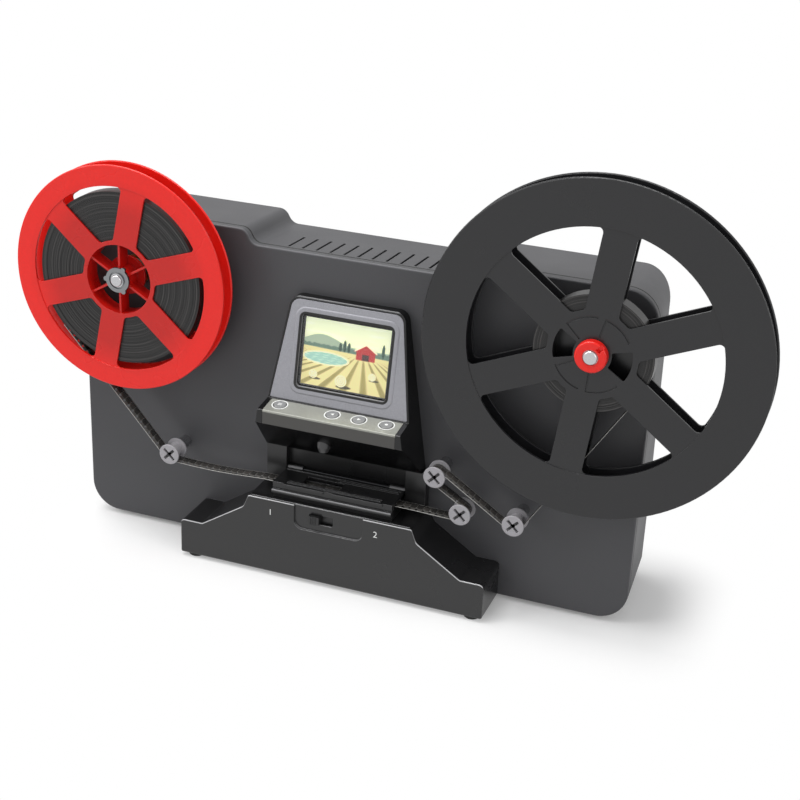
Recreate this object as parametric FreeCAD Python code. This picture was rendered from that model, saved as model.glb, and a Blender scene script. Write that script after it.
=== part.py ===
import FreeCAD, Part
import math
import os
from FreeCAD import Vector

# Axes while building: X across the front from the body's middle, Y back from the
# front panel's face, Z up from the floor. The finished part is centred at the end.

# Driving sizes: the two reels, the screen housing's top and the gaps beside them
supply_r = 63.5
takeup_r = 88.9
head_x = 0.0
head_top_half = 32.4
reel_head_gap = 14.4
supply_in = 34.7
takeup_in = 27.3
takeup_x = head_x + head_top_half + reel_head_gap + takeup_r
body_width = 2 * (takeup_x + takeup_in)
supply_x = -(body_width / 2 - supply_in)

# Body
floor_gap = 2.5
low_top_z = 182.0
shoulder_z = 190.0
body_corner = 17.0
shoulder_step_x = 60.4
shoulder_slope = 62.0
shoulder_round = 6.0
wall = 2.5
panel_rim = 4.0
panel_edge_round = 1.2
seam_gap = 0.4
lip_gap = 0.5
lip_wall = 1.3
lip_reach = 4.0
rear_top_y = 52.0
rear_low_y = 64.0
rear_bend_z = 60.0
rear_bend_round = 80.0
rear_foot_round = 14.0
rear_corner = 18.0
side_draft = 3.3
top_draft = 2.9
vent_count = 11
vent_pitch = 8.0
vent_width = 1.4
vent_start_y = 6.5
vent_length = 21.5

# Cover screws and their bosses
low_screw_x = body_width / 2 - 21.0
high_screw_x = body_width / 2 - 11.0
low_screws = [(-low_screw_x, 26.0), (low_screw_x, 26.0)]
high_screws = [(-high_screw_x, 118.0), (high_screw_x, 118.0)]
screw_spots = low_screws + high_screws + [(0.0, 166.0), (0.0, 100.0)]
screw_shank_r = 1.4
screw_head_r = 3.0
screw_head_t = 2.0
screw_length = 22.0
boss_r = 4.5
boss_reach = 27.5
cable_hole = 22.0
well_r = 5.5
well_floor = 3.0
screw_play = 0.3
screw_slot_w = 0.8
screw_slot_reach = 2.0

# Base block, its deck, recess and slide switch
station_x = 1.3
base_half = 90.0
base_depth = 29.2
ledge_z = 23.4
ledge_half = 76.5
knee_half = 51.0
knee_z = 40.0
deck_half = 48.0
deck_z = 47.5
base_edge_round = 0.8
base_plate_t = 2.0
small_gap = 0.3
recess_half = 20.2
recess_z = 33.5
recess_corner = 5.0
recess_deep = 1.2
deck_line_in = 1.5
deck_line_w = 0.5
deck_line_deep = 0.4
slot_left = -11.6
slot_right = 2.4
slot_low_z = 38.0
slot_high_z = 43.5
knob_width = 6.4
knob_proud = 1.4
knob_reach = 4.6
knob_rib_pitch = 1.3
knob_rib_w = 0.5
knob_rib_deep = 0.35
switch_depth = 6.5
foot_r = 4.5
front_foot_in = 7.1
front_foot_y = -23.0
rear_foot_x = 118.0
rear_foot_y = 44.0

# Screen housing, bezel and screen
head_low_z = 70.0
head_top_z = 159.6
head_low_half = 46.0
head_side_taper = 0.4
head_top_corner = 6.0
head_reach = 60.0
under_y = -6.5
shelf_y = -16.8
shelf_z = 102.9
lip_y = -30.0
lip_top_z = 101.0
lip_low_z = 93.2
lip_round = 0.6
screen_lean_run = 11.0
bezel_t = 1.2
bezel_border = 1.1
bezel_low_z = 103.5
bezel_top_gap = 1.5
bezel_top_corner = 5.0
trim_gap = 0.15
screen_x = 0.6
screen_z = 131.1
screen_open_w = 51.6
screen_open_h = 38.8
screen_open_corner = 2.0
window_t = 0.8
window_deep = 1.6
module_w = 58.8
module_h = 42.7
module_t = 2.6
picture_w = 49.0
picture_h = 36.8
picture_deep = 0.3

# Buttons on the shelf
shelf_half = head_low_half - 8.0
button_shares = [-0.821, -0.016, 0.384, 0.795]
button_offsets = [share * shelf_half for share in button_shares]
button_names = ["button_menu", "button_back", "button_play", "button_enter"]
button_r = 3.5
button_flange_r = 4.4
button_flange_t = 0.5
button_proud = 0.4
button_travel = 0.5
button_along = 5.4
button_gap = 0.3
button_under_gap = 0.2
key_size = 4.0
key_t = 1.6
key_clear = 0.2
board_t = 1.0
key_board_half = shelf_half - 1.5
key_board_front = -10.4
key_board_back = -1.2
shelf_back_gap = 0.8

# Camera
lens_x = -7.3
lens_y = -17.0
lens_tip_z = 77.0
lens_r = 3.6
lens_tip_r = 2.6
lens_cone = 3.0
glass_r = 1.9
lens_bore_deep = 4.0
lens_glass_in = 0.4
camera_z = 88.5
camera_size = 11.0
camera_t = 5.0
camera_cut = 1.5
camera_board_side = 3.0
camera_board_back = 5.0

# Film and gate
film_width = 8.0
film_t = 0.2
film_front_y = -20.25
film_z = 54.5
bed_half = 35.0
bed_front_y = -23.8
bed_top_gap = 0.2
guide_h = 0.6
cheek_low_half = 47.2
cheek_in_half = 35.3
cheek_y = -6.0
gate_back_y = -1.4
hinge_y = -3.6
hinge_z = 56.4
hinge_pin_r = 1.0
knuckle_r = 1.8
knuckle_length = 9.0
pin_grip = 6.0
running_gap = 0.05
door_low_z = 55.3
door_t = 1.6
door_lip_y = -25.6
door_lip_in = 0.9
door_lip_z = 50.4
door_lip_t = 0.6
door_bar_y = -25.4
door_bar_r = 1.3
door_step_left = 6.5
door_step_right = 5.5
door_notch_x = -2.5
door_notch_w = 5.0
door_open_half = 11.0
door_open_play = 0.8
front_ribs = [(-23.4, -27.0, 28.0, 0.7), (-21.6, -27.0, 28.0, 0.4)]
back_ribs = [(-10.6, -2.0, 33.5, 1.0), (-8.0, -34.0, 34.0, 0.5)]
door_rib_w = 0.9
diffuser_half = 5.0
diffuser_deep = 2.1
diffuser_sink = 0.2
led_size = 3.0
led_t = 1.0
led_board_half = 8.0
led_board_back_y = -8.5
bed_groove_w = 0.8
guide_t = 1.0
claw_slot_play = 1.6

# Feed claw
claw_x = 14.3
claw_y = -13.8
claw_t = 1.6
crank_z = 35.5
crank_r = 6.0
crank_t = 2.0
throw = 2.1
crank_pin_r = 1.0
rail_z = 42.0
rail_r = 1.0
claw_half = 8.0
tooth_half = 0.6
rail_span = 10.6
lug_t = 2.2
feed_motor_r = 9.0
motor_shaft_r = 1.5
shaft_grip = 5.0
shaft_bore_deep = 6.0
yoke_play = 0.4
claw_boss_t = 1.2
claw_foot = 6.0
tooth_shoulder = 0.9
tooth_height = 2.0

# Reels: a five inch supply reel and a seven inch take-up reel
supply_z = 157.5
takeup_z = 160.7
reel_front_y = -22.0
flange_t = 1.5
reel_inside = 8.5
spoke_count = 6
rim_step = 0.5
window_corner = 2.5
supply_rim = 11.5
supply_hub_r = 21.0
supply_spoke = 14.0
supply_spoke_angle = 18.5
supply_web_angle = 30.0
supply_web = 1.2
supply_boss_r = 6.5
supply_boss_ring_r = 11.0
supply_boss_ring_t = 1.4
web_sink = 1.6
takeup_rim = 23.9
takeup_hub_r = 22.5
takeup_spoke = 17.0
takeup_spoke_angle = 22.6
takeup_boss_r = 9.0
hub_wall = 1.5
hub_hole_angle = -10.0
hub_hole_in = 9.8
hub_hole_out = 20.2
hub_hole_spread = 48.0
hub_edge = 0.8
takeup_mark_t = 0.6
takeup_mark_w = 1.0
pack_gap = 0.4
supply_pack_r = 49.5
takeup_pack_r = 32.0
wind_pitch = 1.17
wind_gap = 0.45
supply_film_end = 222.0
takeup_film_end = -32.0

# Spindles, bushes, drive
spindle_r = 3.9
collar_r = 7.0
bush_r = 6.0
bush_flange_r = 8.5
bush_flange_t = 2.0
bush_length = 9.0
axial_gap = 0.4
brake_t = 1.6
supply_nose_r = 3.3
supply_nose_y = -25.0
takeup_nose_r = 3.7
takeup_nose_y = -27.0
adapter_r = 8.3
adapter_y = -25.8
adapter_notch_w = 2.4
adapter_notch_angle = 48.0
washer_r = 7.0
washer_t = 1.5
washer_sink_r = 4.9
washer_sink = 0.9
lug_r = 1.4
clip_r = 6.0
clip_t = 0.8
pulley_r = 15.0
pulley_hole_r = 2.5
pulley_y = 12.5
pulley_t = 5.0
pulley_rim = 1.0
motor_pulley_r = 6.0
motor_dx = -36.0
motor_dz = -30.0
motor_r = 12.0
motor_length = 21.0
belt_t = 1.2
belt_play = 0.12
pulley_lip = 0.8
pulley_hole_count = 6
chassis_y = 22.0
chassis_t = 1.5
standoff_r = 3.0

# Guide rollers
roller_one = (supply_x + 28.6, 57.9)
roller_two = (station_x + 56.4, 76.7)
roller_three = (station_x + 71.7, 57.8)
roller_four = (takeup_x - 33.3, 57.8)
roller_spots = [roller_one, roller_two, roller_three, roller_four]
roller_r = 6.0
roller_core_r = 3.8
roller_flange = 0.9
roller_play = 0.15
roller_cap = 1.3
cross_deep = 1.0
cross_w = 1.6
cross_reach = 4.2
post_r = 2.0
post_collar_r = 3.4
nut_r = 3.6
nut_t = 2.4

# The film's way between the rollers and through the gate
sag_in = 76.3
sag_r = 250.0
sag_drop = 1.6
gate_in = 41.3
gate_out = 41.7
ease_r = 60.0

# Boards and sockets inside the rear cover
main_board = (-100.0, -18.0, 20.0, 92.0)
main_board_y = 50.0
main_board_t = 1.6
socket_z = 34.0
card_x = -78.0
card_w = 25.0
card_h = 2.6
port_x = -50.0
port_w = 8.0
port_h = 3.2
jack_x = -32.0
jack_bore_r = 2.75
jack_bore_deep = 9.5
jack_pin_r = 1.0
jack_nose_r = 4.4
jack_size = 11.0
socket_wall = 1.0
port_wall = 0.4
chip_spots = [(30.0, 34.0, 14.0, 14.0, 1.4), (52.0, 36.0, 10.0, 14.0, 1.2), (12.0, 30.0, 8.0, 6.0, 5.0)]


def box(x0, x1, y0, y1, z0, z1):
    return Part.makeBox(x1 - x0, y1 - y0, z1 - z0, Vector(x0, y0, z0))


def rod_x(y, z, radius, x0, x1):
    return Part.makeCylinder(radius, x1 - x0, Vector(x0, y, z), Vector(1, 0, 0))


def rod_y(x, z, radius, y0, y1):
    return Part.makeCylinder(radius, y1 - y0, Vector(x, y0, z), Vector(0, 1, 0))


def rod_z(x, y, radius, z0, z1):
    return Part.makeCylinder(radius, z1 - z0, Vector(x, y, z0), Vector(0, 0, 1))


def ring_y(x, z, outer, inner, y0, y1):
    return rod_y(x, z, outer, y0, y1).cut(rod_y(x, z, inner, y0 - 1, y1 + 1))


def rect(u0, u1, v0, v1, radius=0.0):
    return [(u0, v0, radius), (u1, v0, radius), (u1, v1, radius), (u0, v1, radius)]


def neighbours(corners):
    count = len(corners)
    return [(corners[i - 1], corners[i], corners[(i + 1) % count]) for i in range(count)]


def inset(corners, gap):
    """Move every side of an anticlockwise outline inwards, and keep its rounds concentric."""
    moved = []
    for before, here, after in neighbours(corners):
        a = Vector(here[0] - before[0], here[1] - before[1], 0).normalize()
        b = Vector(after[0] - here[0], after[1] - here[1], 0).normalize()
        turn = a.x * b.y - a.y * b.x
        normal_a = Vector(-a.y, a.x, 0)
        normal_b = Vector(-b.y, b.x, 0)
        shift = (normal_a + normal_b) * (gap / (1 + normal_a.dot(normal_b)))
        radius = here[2] - gap if turn > 0 else here[2] + gap
        if here[2] == 0:
            radius = 0
        moved.append((here[0] + shift.x, here[1] + shift.y, max(radius, 0)))
    return moved


def outline(corners, place):
    """A closed wire of straight sides and tangent arcs through corners (u, v, radius)."""
    pieces = []
    for before, here, after in neighbours(corners):
        spot = Vector(here[0], here[1], 0)
        back = (Vector(before[0], before[1], 0) - spot).normalize()
        ahead = (Vector(after[0], after[1], 0) - spot).normalize()
        half = back.getAngle(ahead) / 2
        reach = here[2] / math.tan(half)
        middle = (back + ahead).normalize()
        nearest = spot + middle * (here[2] / math.sin(half) - here[2])
        pieces.append((spot + back * reach, nearest, spot + ahead * reach, here[2]))
    edges = []
    for i, (start, nearest, end, radius) in enumerate(pieces):
        if radius > 0:
            arc = Part.Arc(place(start.x, start.y), place(nearest.x, nearest.y), place(end.x, end.y))
            edges.append(arc.toShape())
        following = pieces[(i + 1) % len(pieces)][0]
        if (following - end).Length > 1e-6:
            edges.append(Part.makeLine(place(end.x, end.y), place(following.x, following.y)))
    return Part.Wire(edges)


def front_wire(corners, y):
    return outline(corners, lambda u, v: Vector(u, y, v))


def front_prism(corners, y0, y1):
    return Part.Face(front_wire(corners, y0)).extrude(Vector(0, y1 - y0, 0))


def floor_prism(corners, z0, z1):
    wire = outline(corners, lambda u, v: Vector(u, v, z0))
    return Part.Face(wire).extrude(Vector(0, 0, z1 - z0))


def side_prism(corners, x0, x1):
    wire = outline(corners, lambda u, v: Vector(x0, u, v))
    return Part.Face(wire).extrude(Vector(x1 - x0, 0, 0))


def fused(shapes):
    whole = shapes[0]
    for shape in shapes[1:]:
        whole = whole.fuse(shape)
    return whole.removeSplitter()


def cut_all(shape, tools):
    for tool in tools:
        shape = shape.cut(tool)
    return shape


def at_angle(x, z, radius, degrees):
    turn = math.radians(degrees)
    return x + radius * math.cos(turn), z + radius * math.sin(turn)


def turned_y(shape, x, z, degrees):
    """Turn a shape about a line along Y, anticlockwise as seen from the front."""
    return shape.rotated(Vector(x, 0, z), Vector(0, -1, 0), degrees)


# Body covers

def body_outline():
    half = body_width / 2
    run = (shoulder_z - low_top_z) / math.tan(math.radians(shoulder_slope))
    high_x = shoulder_step_x + run / 2
    low_x = shoulder_step_x - run / 2
    return [(-half, floor_gap, body_corner), (half, floor_gap, body_corner),
            (half, shoulder_z, body_corner), (high_x, shoulder_z, shoulder_round),
            (low_x, low_top_z, shoulder_round), (-low_x, low_top_z, shoulder_round),
            (-high_x, shoulder_z, shoulder_round), (-half, shoulder_z, body_corner)]


def drafted(corners, length):
    """The outline after a length of the moulding draft: sides and top come in, the bottom stays."""
    side = length * math.tan(math.radians(side_draft))
    drop = length * math.tan(math.radians(top_draft))
    middle_z = (floor_gap + low_top_z) / 2
    moved = []
    for u, v, radius in corners:
        outer = abs(u) > shoulder_step_x * 1.5
        shift = -math.copysign(side, u) if outer else 0
        moved.append((u + shift, v - (drop if v > middle_z else 0), radius))
    return moved


def rear_profile(gap):
    """The rear cover from the side, taken in by a wall's thickness where asked."""
    lean = (rear_low_y - rear_top_y) / (shoulder_z - rear_bend_z)
    above = shoulder_z + rear_foot_round
    before = -rear_low_y
    corners = [(before, floor_gap, 0), (rear_low_y, floor_gap, rear_foot_round),
               (rear_low_y, rear_bend_z, rear_bend_round),
               (rear_low_y - lean * (above - rear_bend_z), above, 0), (before, above, 0)]
    return inset(corners, gap) if gap else corners


def rear_corner_cut(side, gap):
    """What rounds an upright rear corner: the corner's rest outside a tangent round."""
    tan_side = math.tan(math.radians(side_draft))
    lean = (rear_low_y - rear_top_y) / (shoulder_z - rear_bend_z)
    half = body_width / 2 - (rear_low_y - seam_y()) * tan_side - gap
    back = rear_low_y - gap
    corner = Vector(half, back, 0)
    along_side = Vector(tan_side, -1, 0).normalize()
    along_back = Vector(-1, 0, 0)
    radius = rear_corner - gap
    half_angle = along_side.getAngle(along_back) / 2
    reach = radius / math.tan(half_angle)
    middle = (along_side + along_back).normalize()
    nearest = corner + middle * (radius / math.sin(half_angle) - radius)
    first = corner + along_side * reach
    last = corner + along_back * reach
    far = rear_corner + wall
    outside = [last + Vector(0, far, 0), corner + Vector(far, far, 0), first + Vector(far, 0, 0)]
    points = [last] + outside + [first]
    points = [Vector(p.x * side, p.y, rear_bend_z) for p in points]
    edges = [Part.makeLine(points[i], points[i + 1]) for i in range(len(points) - 1)]
    middle_point = Vector(nearest.x * side, nearest.y, rear_bend_z)
    edges.append(Part.Arc(points[-1], middle_point, points[0]).toShape())
    face = Part.Face(Part.Wire(edges))
    height = shoulder_z + rear_foot_round - rear_bend_z
    upper = face.extrude(Vector(side * tan_side * lean * height, -lean * height, height))
    lower = face.extrude(Vector(0, 0, -rear_bend_z - 1))
    return [upper, lower]


def seam_y():
    return panel_rim + seam_gap


def well_bottom_y():
    return wall + boss_reach + small_gap


def make_front_cover():
    shape = body_outline()
    plate = front_prism(shape, 0, panel_rim)
    front_edges = [e for e in plate.Edges if e.BoundBox.YMax < 1e-4]
    plate = plate.makeFillet(panel_edge_round, front_edges)
    plate = plate.cut(front_prism(inset(shape, wall), wall, panel_rim + 1))
    outer = front_prism(inset(shape, wall + lip_gap), wall, seam_y() + lip_reach)
    inner = front_prism(inset(shape, wall + lip_gap + lip_wall), wall, seam_y() + lip_reach)
    cover = plate.fuse(outer.cut(inner))
    for x, z in screw_spots:
        boss = rod_y(x, z, boss_r, wall, wall + boss_reach)
        cover = cover.fuse(boss)
    cuts = [rod_y(x, z, screw_shank_r, wall + 4, wall + boss_reach + 1) for x, z in screw_spots]
    cuts += [rod_y(x, z, bush_r, -1, wall + 1) for x, z in [(supply_x, supply_z), (takeup_x, takeup_z)]]
    cuts += [rod_y(x, z, post_r, -1, wall + 1) for x, z in roller_spots]
    cable_half = cable_hole / 2
    for x, z in [(screen_x, screen_z), (claw_x, crank_z)]:
        hole = rect(x - cable_half, x + cable_half, z - cable_half, z + cable_half, 3)
        cuts.append(front_prism(hole, -1, wall + 1))
    return cut_all(cover, cuts).removeSplitter()


def cover_hull(gap):
    """The rear cover's outer form, or its hollow when taken in by the wall."""
    shape = inset(body_outline(), gap) if gap else body_outline()
    start = seam_y()
    if gap:
        start = start - 1
    end = rear_low_y + 8
    length = end - seam_y()
    near = front_wire(drafted(shape, start - seam_y()), start)
    far = front_wire(drafted(shape, length), end)
    hull = Part.makeLoft([near, far], True, True)
    hull = hull.common(side_prism(rear_profile(gap), -body_width, body_width))
    for side in (-1, 1):
        hull = cut_all(hull, rear_corner_cut(side, gap))
    return hull


def make_rear_cover():
    outer = cover_hull(0)
    cover = outer.cut(cover_hull(wall))
    floor_y = well_bottom_y()
    for x, z in screw_spots:
        cover = cover.fuse(rod_y(x, z, well_r, floor_y, rear_low_y + 1).common(outer))
    x0, x1, z0, z1 = main_board
    for x, z in [(x0 + 5, z1 - 6), (x1 - 5, z1 - 6), (x1 - 5, z0 + 5)]:
        standoff = rod_y(x, z, standoff_r, main_board_y + main_board_t, rear_low_y)
        cover = cover.fuse(standoff.common(outer))
    cuts = []
    for x, z in screw_spots:
        cuts.append(rod_y(x, z, screw_shank_r + screw_play, floor_y - 1, rear_low_y))
        cuts.append(rod_y(x, z, screw_head_r + screw_play, floor_y + well_floor, rear_low_y + 5))
    first = -vent_pitch * (vent_count - 1) / 2
    for i in range(vent_count):
        x = first + i * vent_pitch
        cuts.append(box(x - vent_width / 2, x + vent_width / 2,
                        vent_start_y, vent_start_y + vent_length, low_top_z - 8, low_top_z + 1))
    inside = rear_low_y - wall - 1.5
    for x, width, height in [(card_x, card_w, card_h), (port_x, port_w, port_h)]:
        across = width / 2 + small_gap
        upright = height / 2 + small_gap
        cuts.append(box(x - across, x + across, inside, rear_low_y + 1,
                        socket_z - upright, socket_z + upright))
    cuts.append(rod_y(jack_x, socket_z, jack_nose_r + small_gap, inside, rear_low_y + 1))
    return cut_all(cover, cuts).removeSplitter()


def make_cover_screws():
    screws = []
    seat = well_bottom_y() + well_floor
    for x, z in screw_spots:
        shank = rod_y(x, z, screw_shank_r, seat - screw_length, seat)
        head = rod_y(x, z, screw_head_r, seat, seat + screw_head_t)
        half = screw_slot_w / 2
        reach = screw_slot_reach
        slot = box(x - half, x + half, seat + 1, seat + 3, z - reach, z + reach)
        cross = box(x - reach, x + reach, seat + 1, seat + 3, z - half, z + half)
        screws.append(cut_all(shank.fuse(head), [slot, cross]))
    return Part.makeCompound(screws)


def feet_spots():
    side = base_half - front_foot_in
    return [(station_x - side, front_foot_y), (station_x + side, front_foot_y),
            (-rear_foot_x, rear_foot_y), (rear_foot_x, rear_foot_y)]


def make_feet():
    feet = []
    for x, y in feet_spots():
        foot = rod_z(x, y, foot_r, 0, floor_gap)
        rim = [e for e in foot.Edges if e.BoundBox.ZMax < 1e-4]
        feet.append(foot.makeChamfer(0.4, rim))
    return Part.makeCompound(feet)


# Base block

def base_outline():
    right = [(base_half, floor_gap, 1.0), (base_half, ledge_z, 2.5), (ledge_half, ledge_z, 3.0),
             (knee_half, knee_z, 4.0), (deck_half, deck_z, 1.2)]
    left = [(-x, z, r) for x, z, r in reversed(right)]
    return [(x + station_x, z, r) for x, z, r in right + left]


def make_base_shell():
    shape = base_outline()
    front = -base_depth
    shell = front_prism(shape, front, 0)
    edges = [e for e in shell.Edges if e.BoundBox.YMax < front + 1e-4]
    shell = shell.makeFillet(base_edge_round, edges)
    inner_half = base_half - wall
    hollow = front_prism(inset(shape, wall), front + wall, 1)
    mouth = box(station_x - inner_half, station_x + inner_half, front + wall, 1,
                floor_gap - 1, floor_gap + wall + 1)
    recess = [(-recess_half, recess_z, recess_corner), (recess_half, recess_z, recess_corner),
              (recess_half, deck_z + 3, 0), (-recess_half, deck_z + 3, 0)]
    recess = [(x + station_x, z, r) for x, z, r in recess]
    slot = rect(station_x + slot_left, station_x + slot_right, slot_low_z, slot_high_z, 0.8)
    cuts = [hollow, mouth, front_prism(recess, front - 1, front + recess_deep),
            front_prism(slot, front - 1, front + wall + 1),
            light_well(1.0, deck_z - wall - 1, deck_z + 1)]
    lug_reach = rail_span + lug_t + small_gap
    cuts.append(box(claw_x - lug_reach, claw_x + lug_reach, claw_y - 3, claw_y + 3,
                    deck_z - wall - 1, deck_z + 1))
    line_half = deck_half - deck_line_in
    line_y = front + deck_line_in
    cuts.append(box(station_x - line_half, station_x + line_half, line_y, line_y + deck_line_w,
                    deck_z - deck_line_deep, deck_z + 1))
    return cut_all(shell, cuts).removeSplitter()


def make_base_plate():
    half = base_half - wall - small_gap
    front = -base_depth + wall + small_gap
    plate = box(station_x - half, station_x + half, front, -small_gap, floor_gap, floor_gap + base_plate_t)
    grooves = []
    for k in (-3, -2, -1, 1, 2, 3):
        x = station_x + k * 12
        grooves.append(box(x - 4, x + 4, -14, -12.8, floor_gap - 1, floor_gap + base_plate_t + 1))
    return cut_all(plate, grooves)


def knob_centre_x():
    return station_x + slot_left + small_gap + knob_width / 2


def make_switch_knob():
    front = -base_depth - knob_proud
    middle = knob_centre_x()
    corners = rect(middle - knob_width / 2, middle + knob_width / 2,
                   slot_low_z + small_gap, slot_high_z - small_gap, 0.5)
    knob = front_prism(corners, front, front + knob_reach)
    grooves = []
    for k in (-1, 0, 1):
        x = middle + k * knob_rib_pitch
        grooves.append(box(x - knob_rib_w / 2, x + knob_rib_w / 2, front - 1, front + knob_rib_deep,
                           slot_low_z, slot_high_z))
    return cut_all(knob, grooves)


def switch_front_y():
    return -base_depth - knob_proud + knob_reach + small_gap


def make_switch_body():
    front = switch_front_y()
    side = 1.5
    return box(station_x + slot_left - side, station_x + slot_right + side,
               front, front + switch_depth, slot_low_z - side, deck_z - wall)


# Screen housing

def lean_angle():
    return math.degrees(math.atan(screen_lean_run / (head_top_z - shelf_z)))


def shelf_angle():
    return math.degrees(math.atan((shelf_z - lip_top_z) / (shelf_y - lip_y)))


def head_profile(open_back):
    """The housing from the side; its back edge is moved past the panel for the hollow."""
    back = 2 * wall if open_back else 0
    top_y = shelf_y + screen_lean_run
    return [(back, head_low_z, 0), (back, head_top_z, 0), (top_y, head_top_z, 1.5),
            (shelf_y, shelf_z, 0), (lip_y, lip_top_z, lip_round), (lip_y, lip_low_z, lip_round),
            (under_y, head_low_z, 0)]


def head_front(taper):
    """The housing from the front, narrower by the taper on each side."""
    low = head_low_half - taper
    high = head_top_half - taper
    corner = head_top_corner
    return [(head_x - low, head_low_z, 0), (head_x + low, head_low_z, 0),
            (head_x + high, head_top_z, corner), (head_x - high, head_top_z, corner)]


def tapered_hull(gap, back_y):
    steps = []
    for y in (lip_y, back_y):
        shape = head_front(head_side_taper * y / lip_y)
        if gap:
            shape = inset(shape, gap)
        steps.append(front_wire(shape, y))
    return Part.makeLoft(steps, True, True)


def head_solid(gap, open_back):
    """The housing taken in all round by a gap; open at the back where asked."""
    profile = head_profile(open_back)
    if gap:
        profile = inset(profile, gap)
    prism = side_prism(profile, head_x - head_reach, head_x + head_reach)
    return prism.common(tapered_hull(gap, 1 if open_back else 0))


def skin(depth):
    """The outer layer of the housing, as deep as a trim plate is thick."""
    left = head_x - head_reach
    right = head_x + head_reach
    profile = side_prism(head_profile(False), left, right)
    return profile.cut(side_prism(inset(head_profile(True), depth), left - 1, right + 1))


def bezel_region(gap):
    def half(z):
        share = (z - head_low_z) / (head_top_z - head_low_z)
        return head_low_half + (head_top_half - head_low_half) * share
    border = bezel_border - gap + head_side_taper * shelf_y / lip_y
    low_z = bezel_low_z - gap
    high_z = head_top_z - bezel_top_gap + gap
    low = half(low_z) - border
    high = half(high_z) - border
    corners = [(head_x - low, low_z, 0.8), (head_x + low, low_z, 0.8),
               (head_x + high, high_z, bezel_top_corner), (head_x - high, high_z, bezel_top_corner)]
    return front_prism(corners, lip_y, -2)


def shelf_region(gap):
    half = shelf_half + gap
    return box(head_x - half, head_x + half, lip_y - 1, shelf_y - shelf_back_gap + gap,
               lip_low_z - 0.2 - gap, shelf_z + 1)


def screen_opening():
    corners = rect(screen_x - screen_open_w / 2, screen_x + screen_open_w / 2,
                   screen_z - screen_open_h / 2, screen_z + screen_open_h / 2, screen_open_corner)
    return front_prism(corners, lip_y, -wall)


def leaned(shape):
    """Lean an upright piece back onto the screen's plane; its front face starts at y = 0."""
    tilted = shape.rotated(Vector(0, 0, 0), Vector(1, 0, 0), -lean_angle())
    return tilted.translated(Vector(0, shelf_y, shelf_z))


def shelved(shape):
    """Tip a level piece onto the shelf's plane; its top starts at z = 0 and the bezel's foot."""
    tilted = shape.rotated(Vector(0, 0, 0), Vector(1, 0, 0), shelf_angle())
    return tilted.translated(Vector(0, shelf_y, shelf_z))


def button_hole(offset, radius):
    return shelved(rod_z(head_x + offset, -button_along, radius, -wall - 1, 3))


def make_screen_housing():
    body = head_solid(0, False).cut(head_solid(wall, True))
    layer = skin(bezel_t + trim_gap)
    cuts = [layer.common(bezel_region(trim_gap)), layer.common(shelf_region(trim_gap))]
    cuts.append(screen_opening())
    cuts += [button_hole(x, button_r + button_gap) for x in button_offsets]
    cuts.append(rod_z(lens_x, lens_y, lens_r + small_gap, head_low_z - 1, camera_z))
    return cut_all(body, cuts).removeSplitter()


def make_bezel():
    return skin(bezel_t).common(bezel_region(0)).cut(screen_opening()).removeSplitter()


def make_button_plate():
    plate = skin(bezel_t).common(shelf_region(0)).common(tapered_hull(0, 0))
    holes = [button_hole(x, button_r + button_gap) for x in button_offsets]
    return cut_all(plate, holes).removeSplitter()


def screen_up():
    return (screen_z - shelf_z) / math.cos(math.radians(lean_angle()))


def make_screen_window():
    half_w = screen_open_w / 2 - 0.2
    half_h = screen_open_h / 2 - 0.5
    up = screen_up()
    corners = rect(screen_x - half_w, screen_x + half_w, up - half_h, up + half_h,
                   screen_open_corner - 0.5)
    return leaned(front_prism(corners, window_deep, window_deep + window_t))


def make_screen_module():
    up = screen_up()
    front = wall + small_gap
    frame = box(screen_x - module_w / 2, screen_x + module_w / 2, front, front + module_t,
                up - module_h / 2, up + module_h / 2)
    view = box(screen_x - picture_w / 2, screen_x + picture_w / 2, front - 1, front + picture_deep,
               up - picture_h / 2, up + picture_h / 2)
    return leaned(frame.cut(view))


def make_button(offset):
    x = head_x + offset
    top = rod_z(x, -button_along, button_r, -wall - button_under_gap, button_proud)
    rim = [e for e in top.Edges if e.BoundBox.ZMin > button_proud - 1e-4]
    top = top.makeFillet(0.3, rim)
    flange_top = -wall - button_under_gap
    flange_low = flange_top - button_flange_t
    flange = rod_z(x, -button_along, button_flange_r, flange_low, flange_top)
    return shelved(top.fuse(flange).removeSplitter())


def key_top():
    return -wall - button_under_gap - button_flange_t - button_travel - key_clear


def make_button_board():
    low = key_top() - key_t
    pieces = [box(head_x - key_board_half, head_x + key_board_half, key_board_front, key_board_back,
                  low - board_t, low)]
    half = key_size / 2
    for offset in button_offsets:
        x = head_x + offset
        pieces.append(box(x - half, x + half, -button_along - half, -button_along + half, low, key_top()))
    return shelved(fused(pieces))


def make_camera_module():
    half = camera_size / 2
    side = half + camera_board_side
    top = camera_z + camera_t
    board = box(lens_x - side, lens_x + side, lens_y - half + 1, lens_y + half + camera_board_back,
                top, top + board_t)
    holder = box(lens_x - half, lens_x + half, lens_y - half + camera_cut, lens_y + half, camera_z, top)
    return board.fuse(holder).removeSplitter()


def make_camera_barrel():
    straight = rod_z(lens_x, lens_y, lens_r, lens_tip_z + lens_cone, camera_z)
    tip = Vector(lens_x, lens_y, lens_tip_z)
    cone = Part.makeCone(lens_tip_r, lens_r, lens_cone, tip, Vector(0, 0, 1))
    bore = rod_z(lens_x, lens_y, glass_r, lens_tip_z - 1, lens_tip_z + lens_bore_deep)
    return straight.fuse(cone).cut(bore).removeSplitter()


def make_camera_lens():
    low = lens_tip_z + lens_glass_in
    glass = rod_z(lens_x, lens_y, glass_r, low, lens_tip_z + lens_bore_deep)
    rim = [e for e in glass.Edges if e.BoundBox.ZMax < low + 0.1]
    return glass.makeFillet(0.35, rim)


# Film gate

def bed_top_z():
    return film_z - film_t / 2 - bed_top_gap


def film_back_y():
    return film_front_y + film_width


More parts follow.
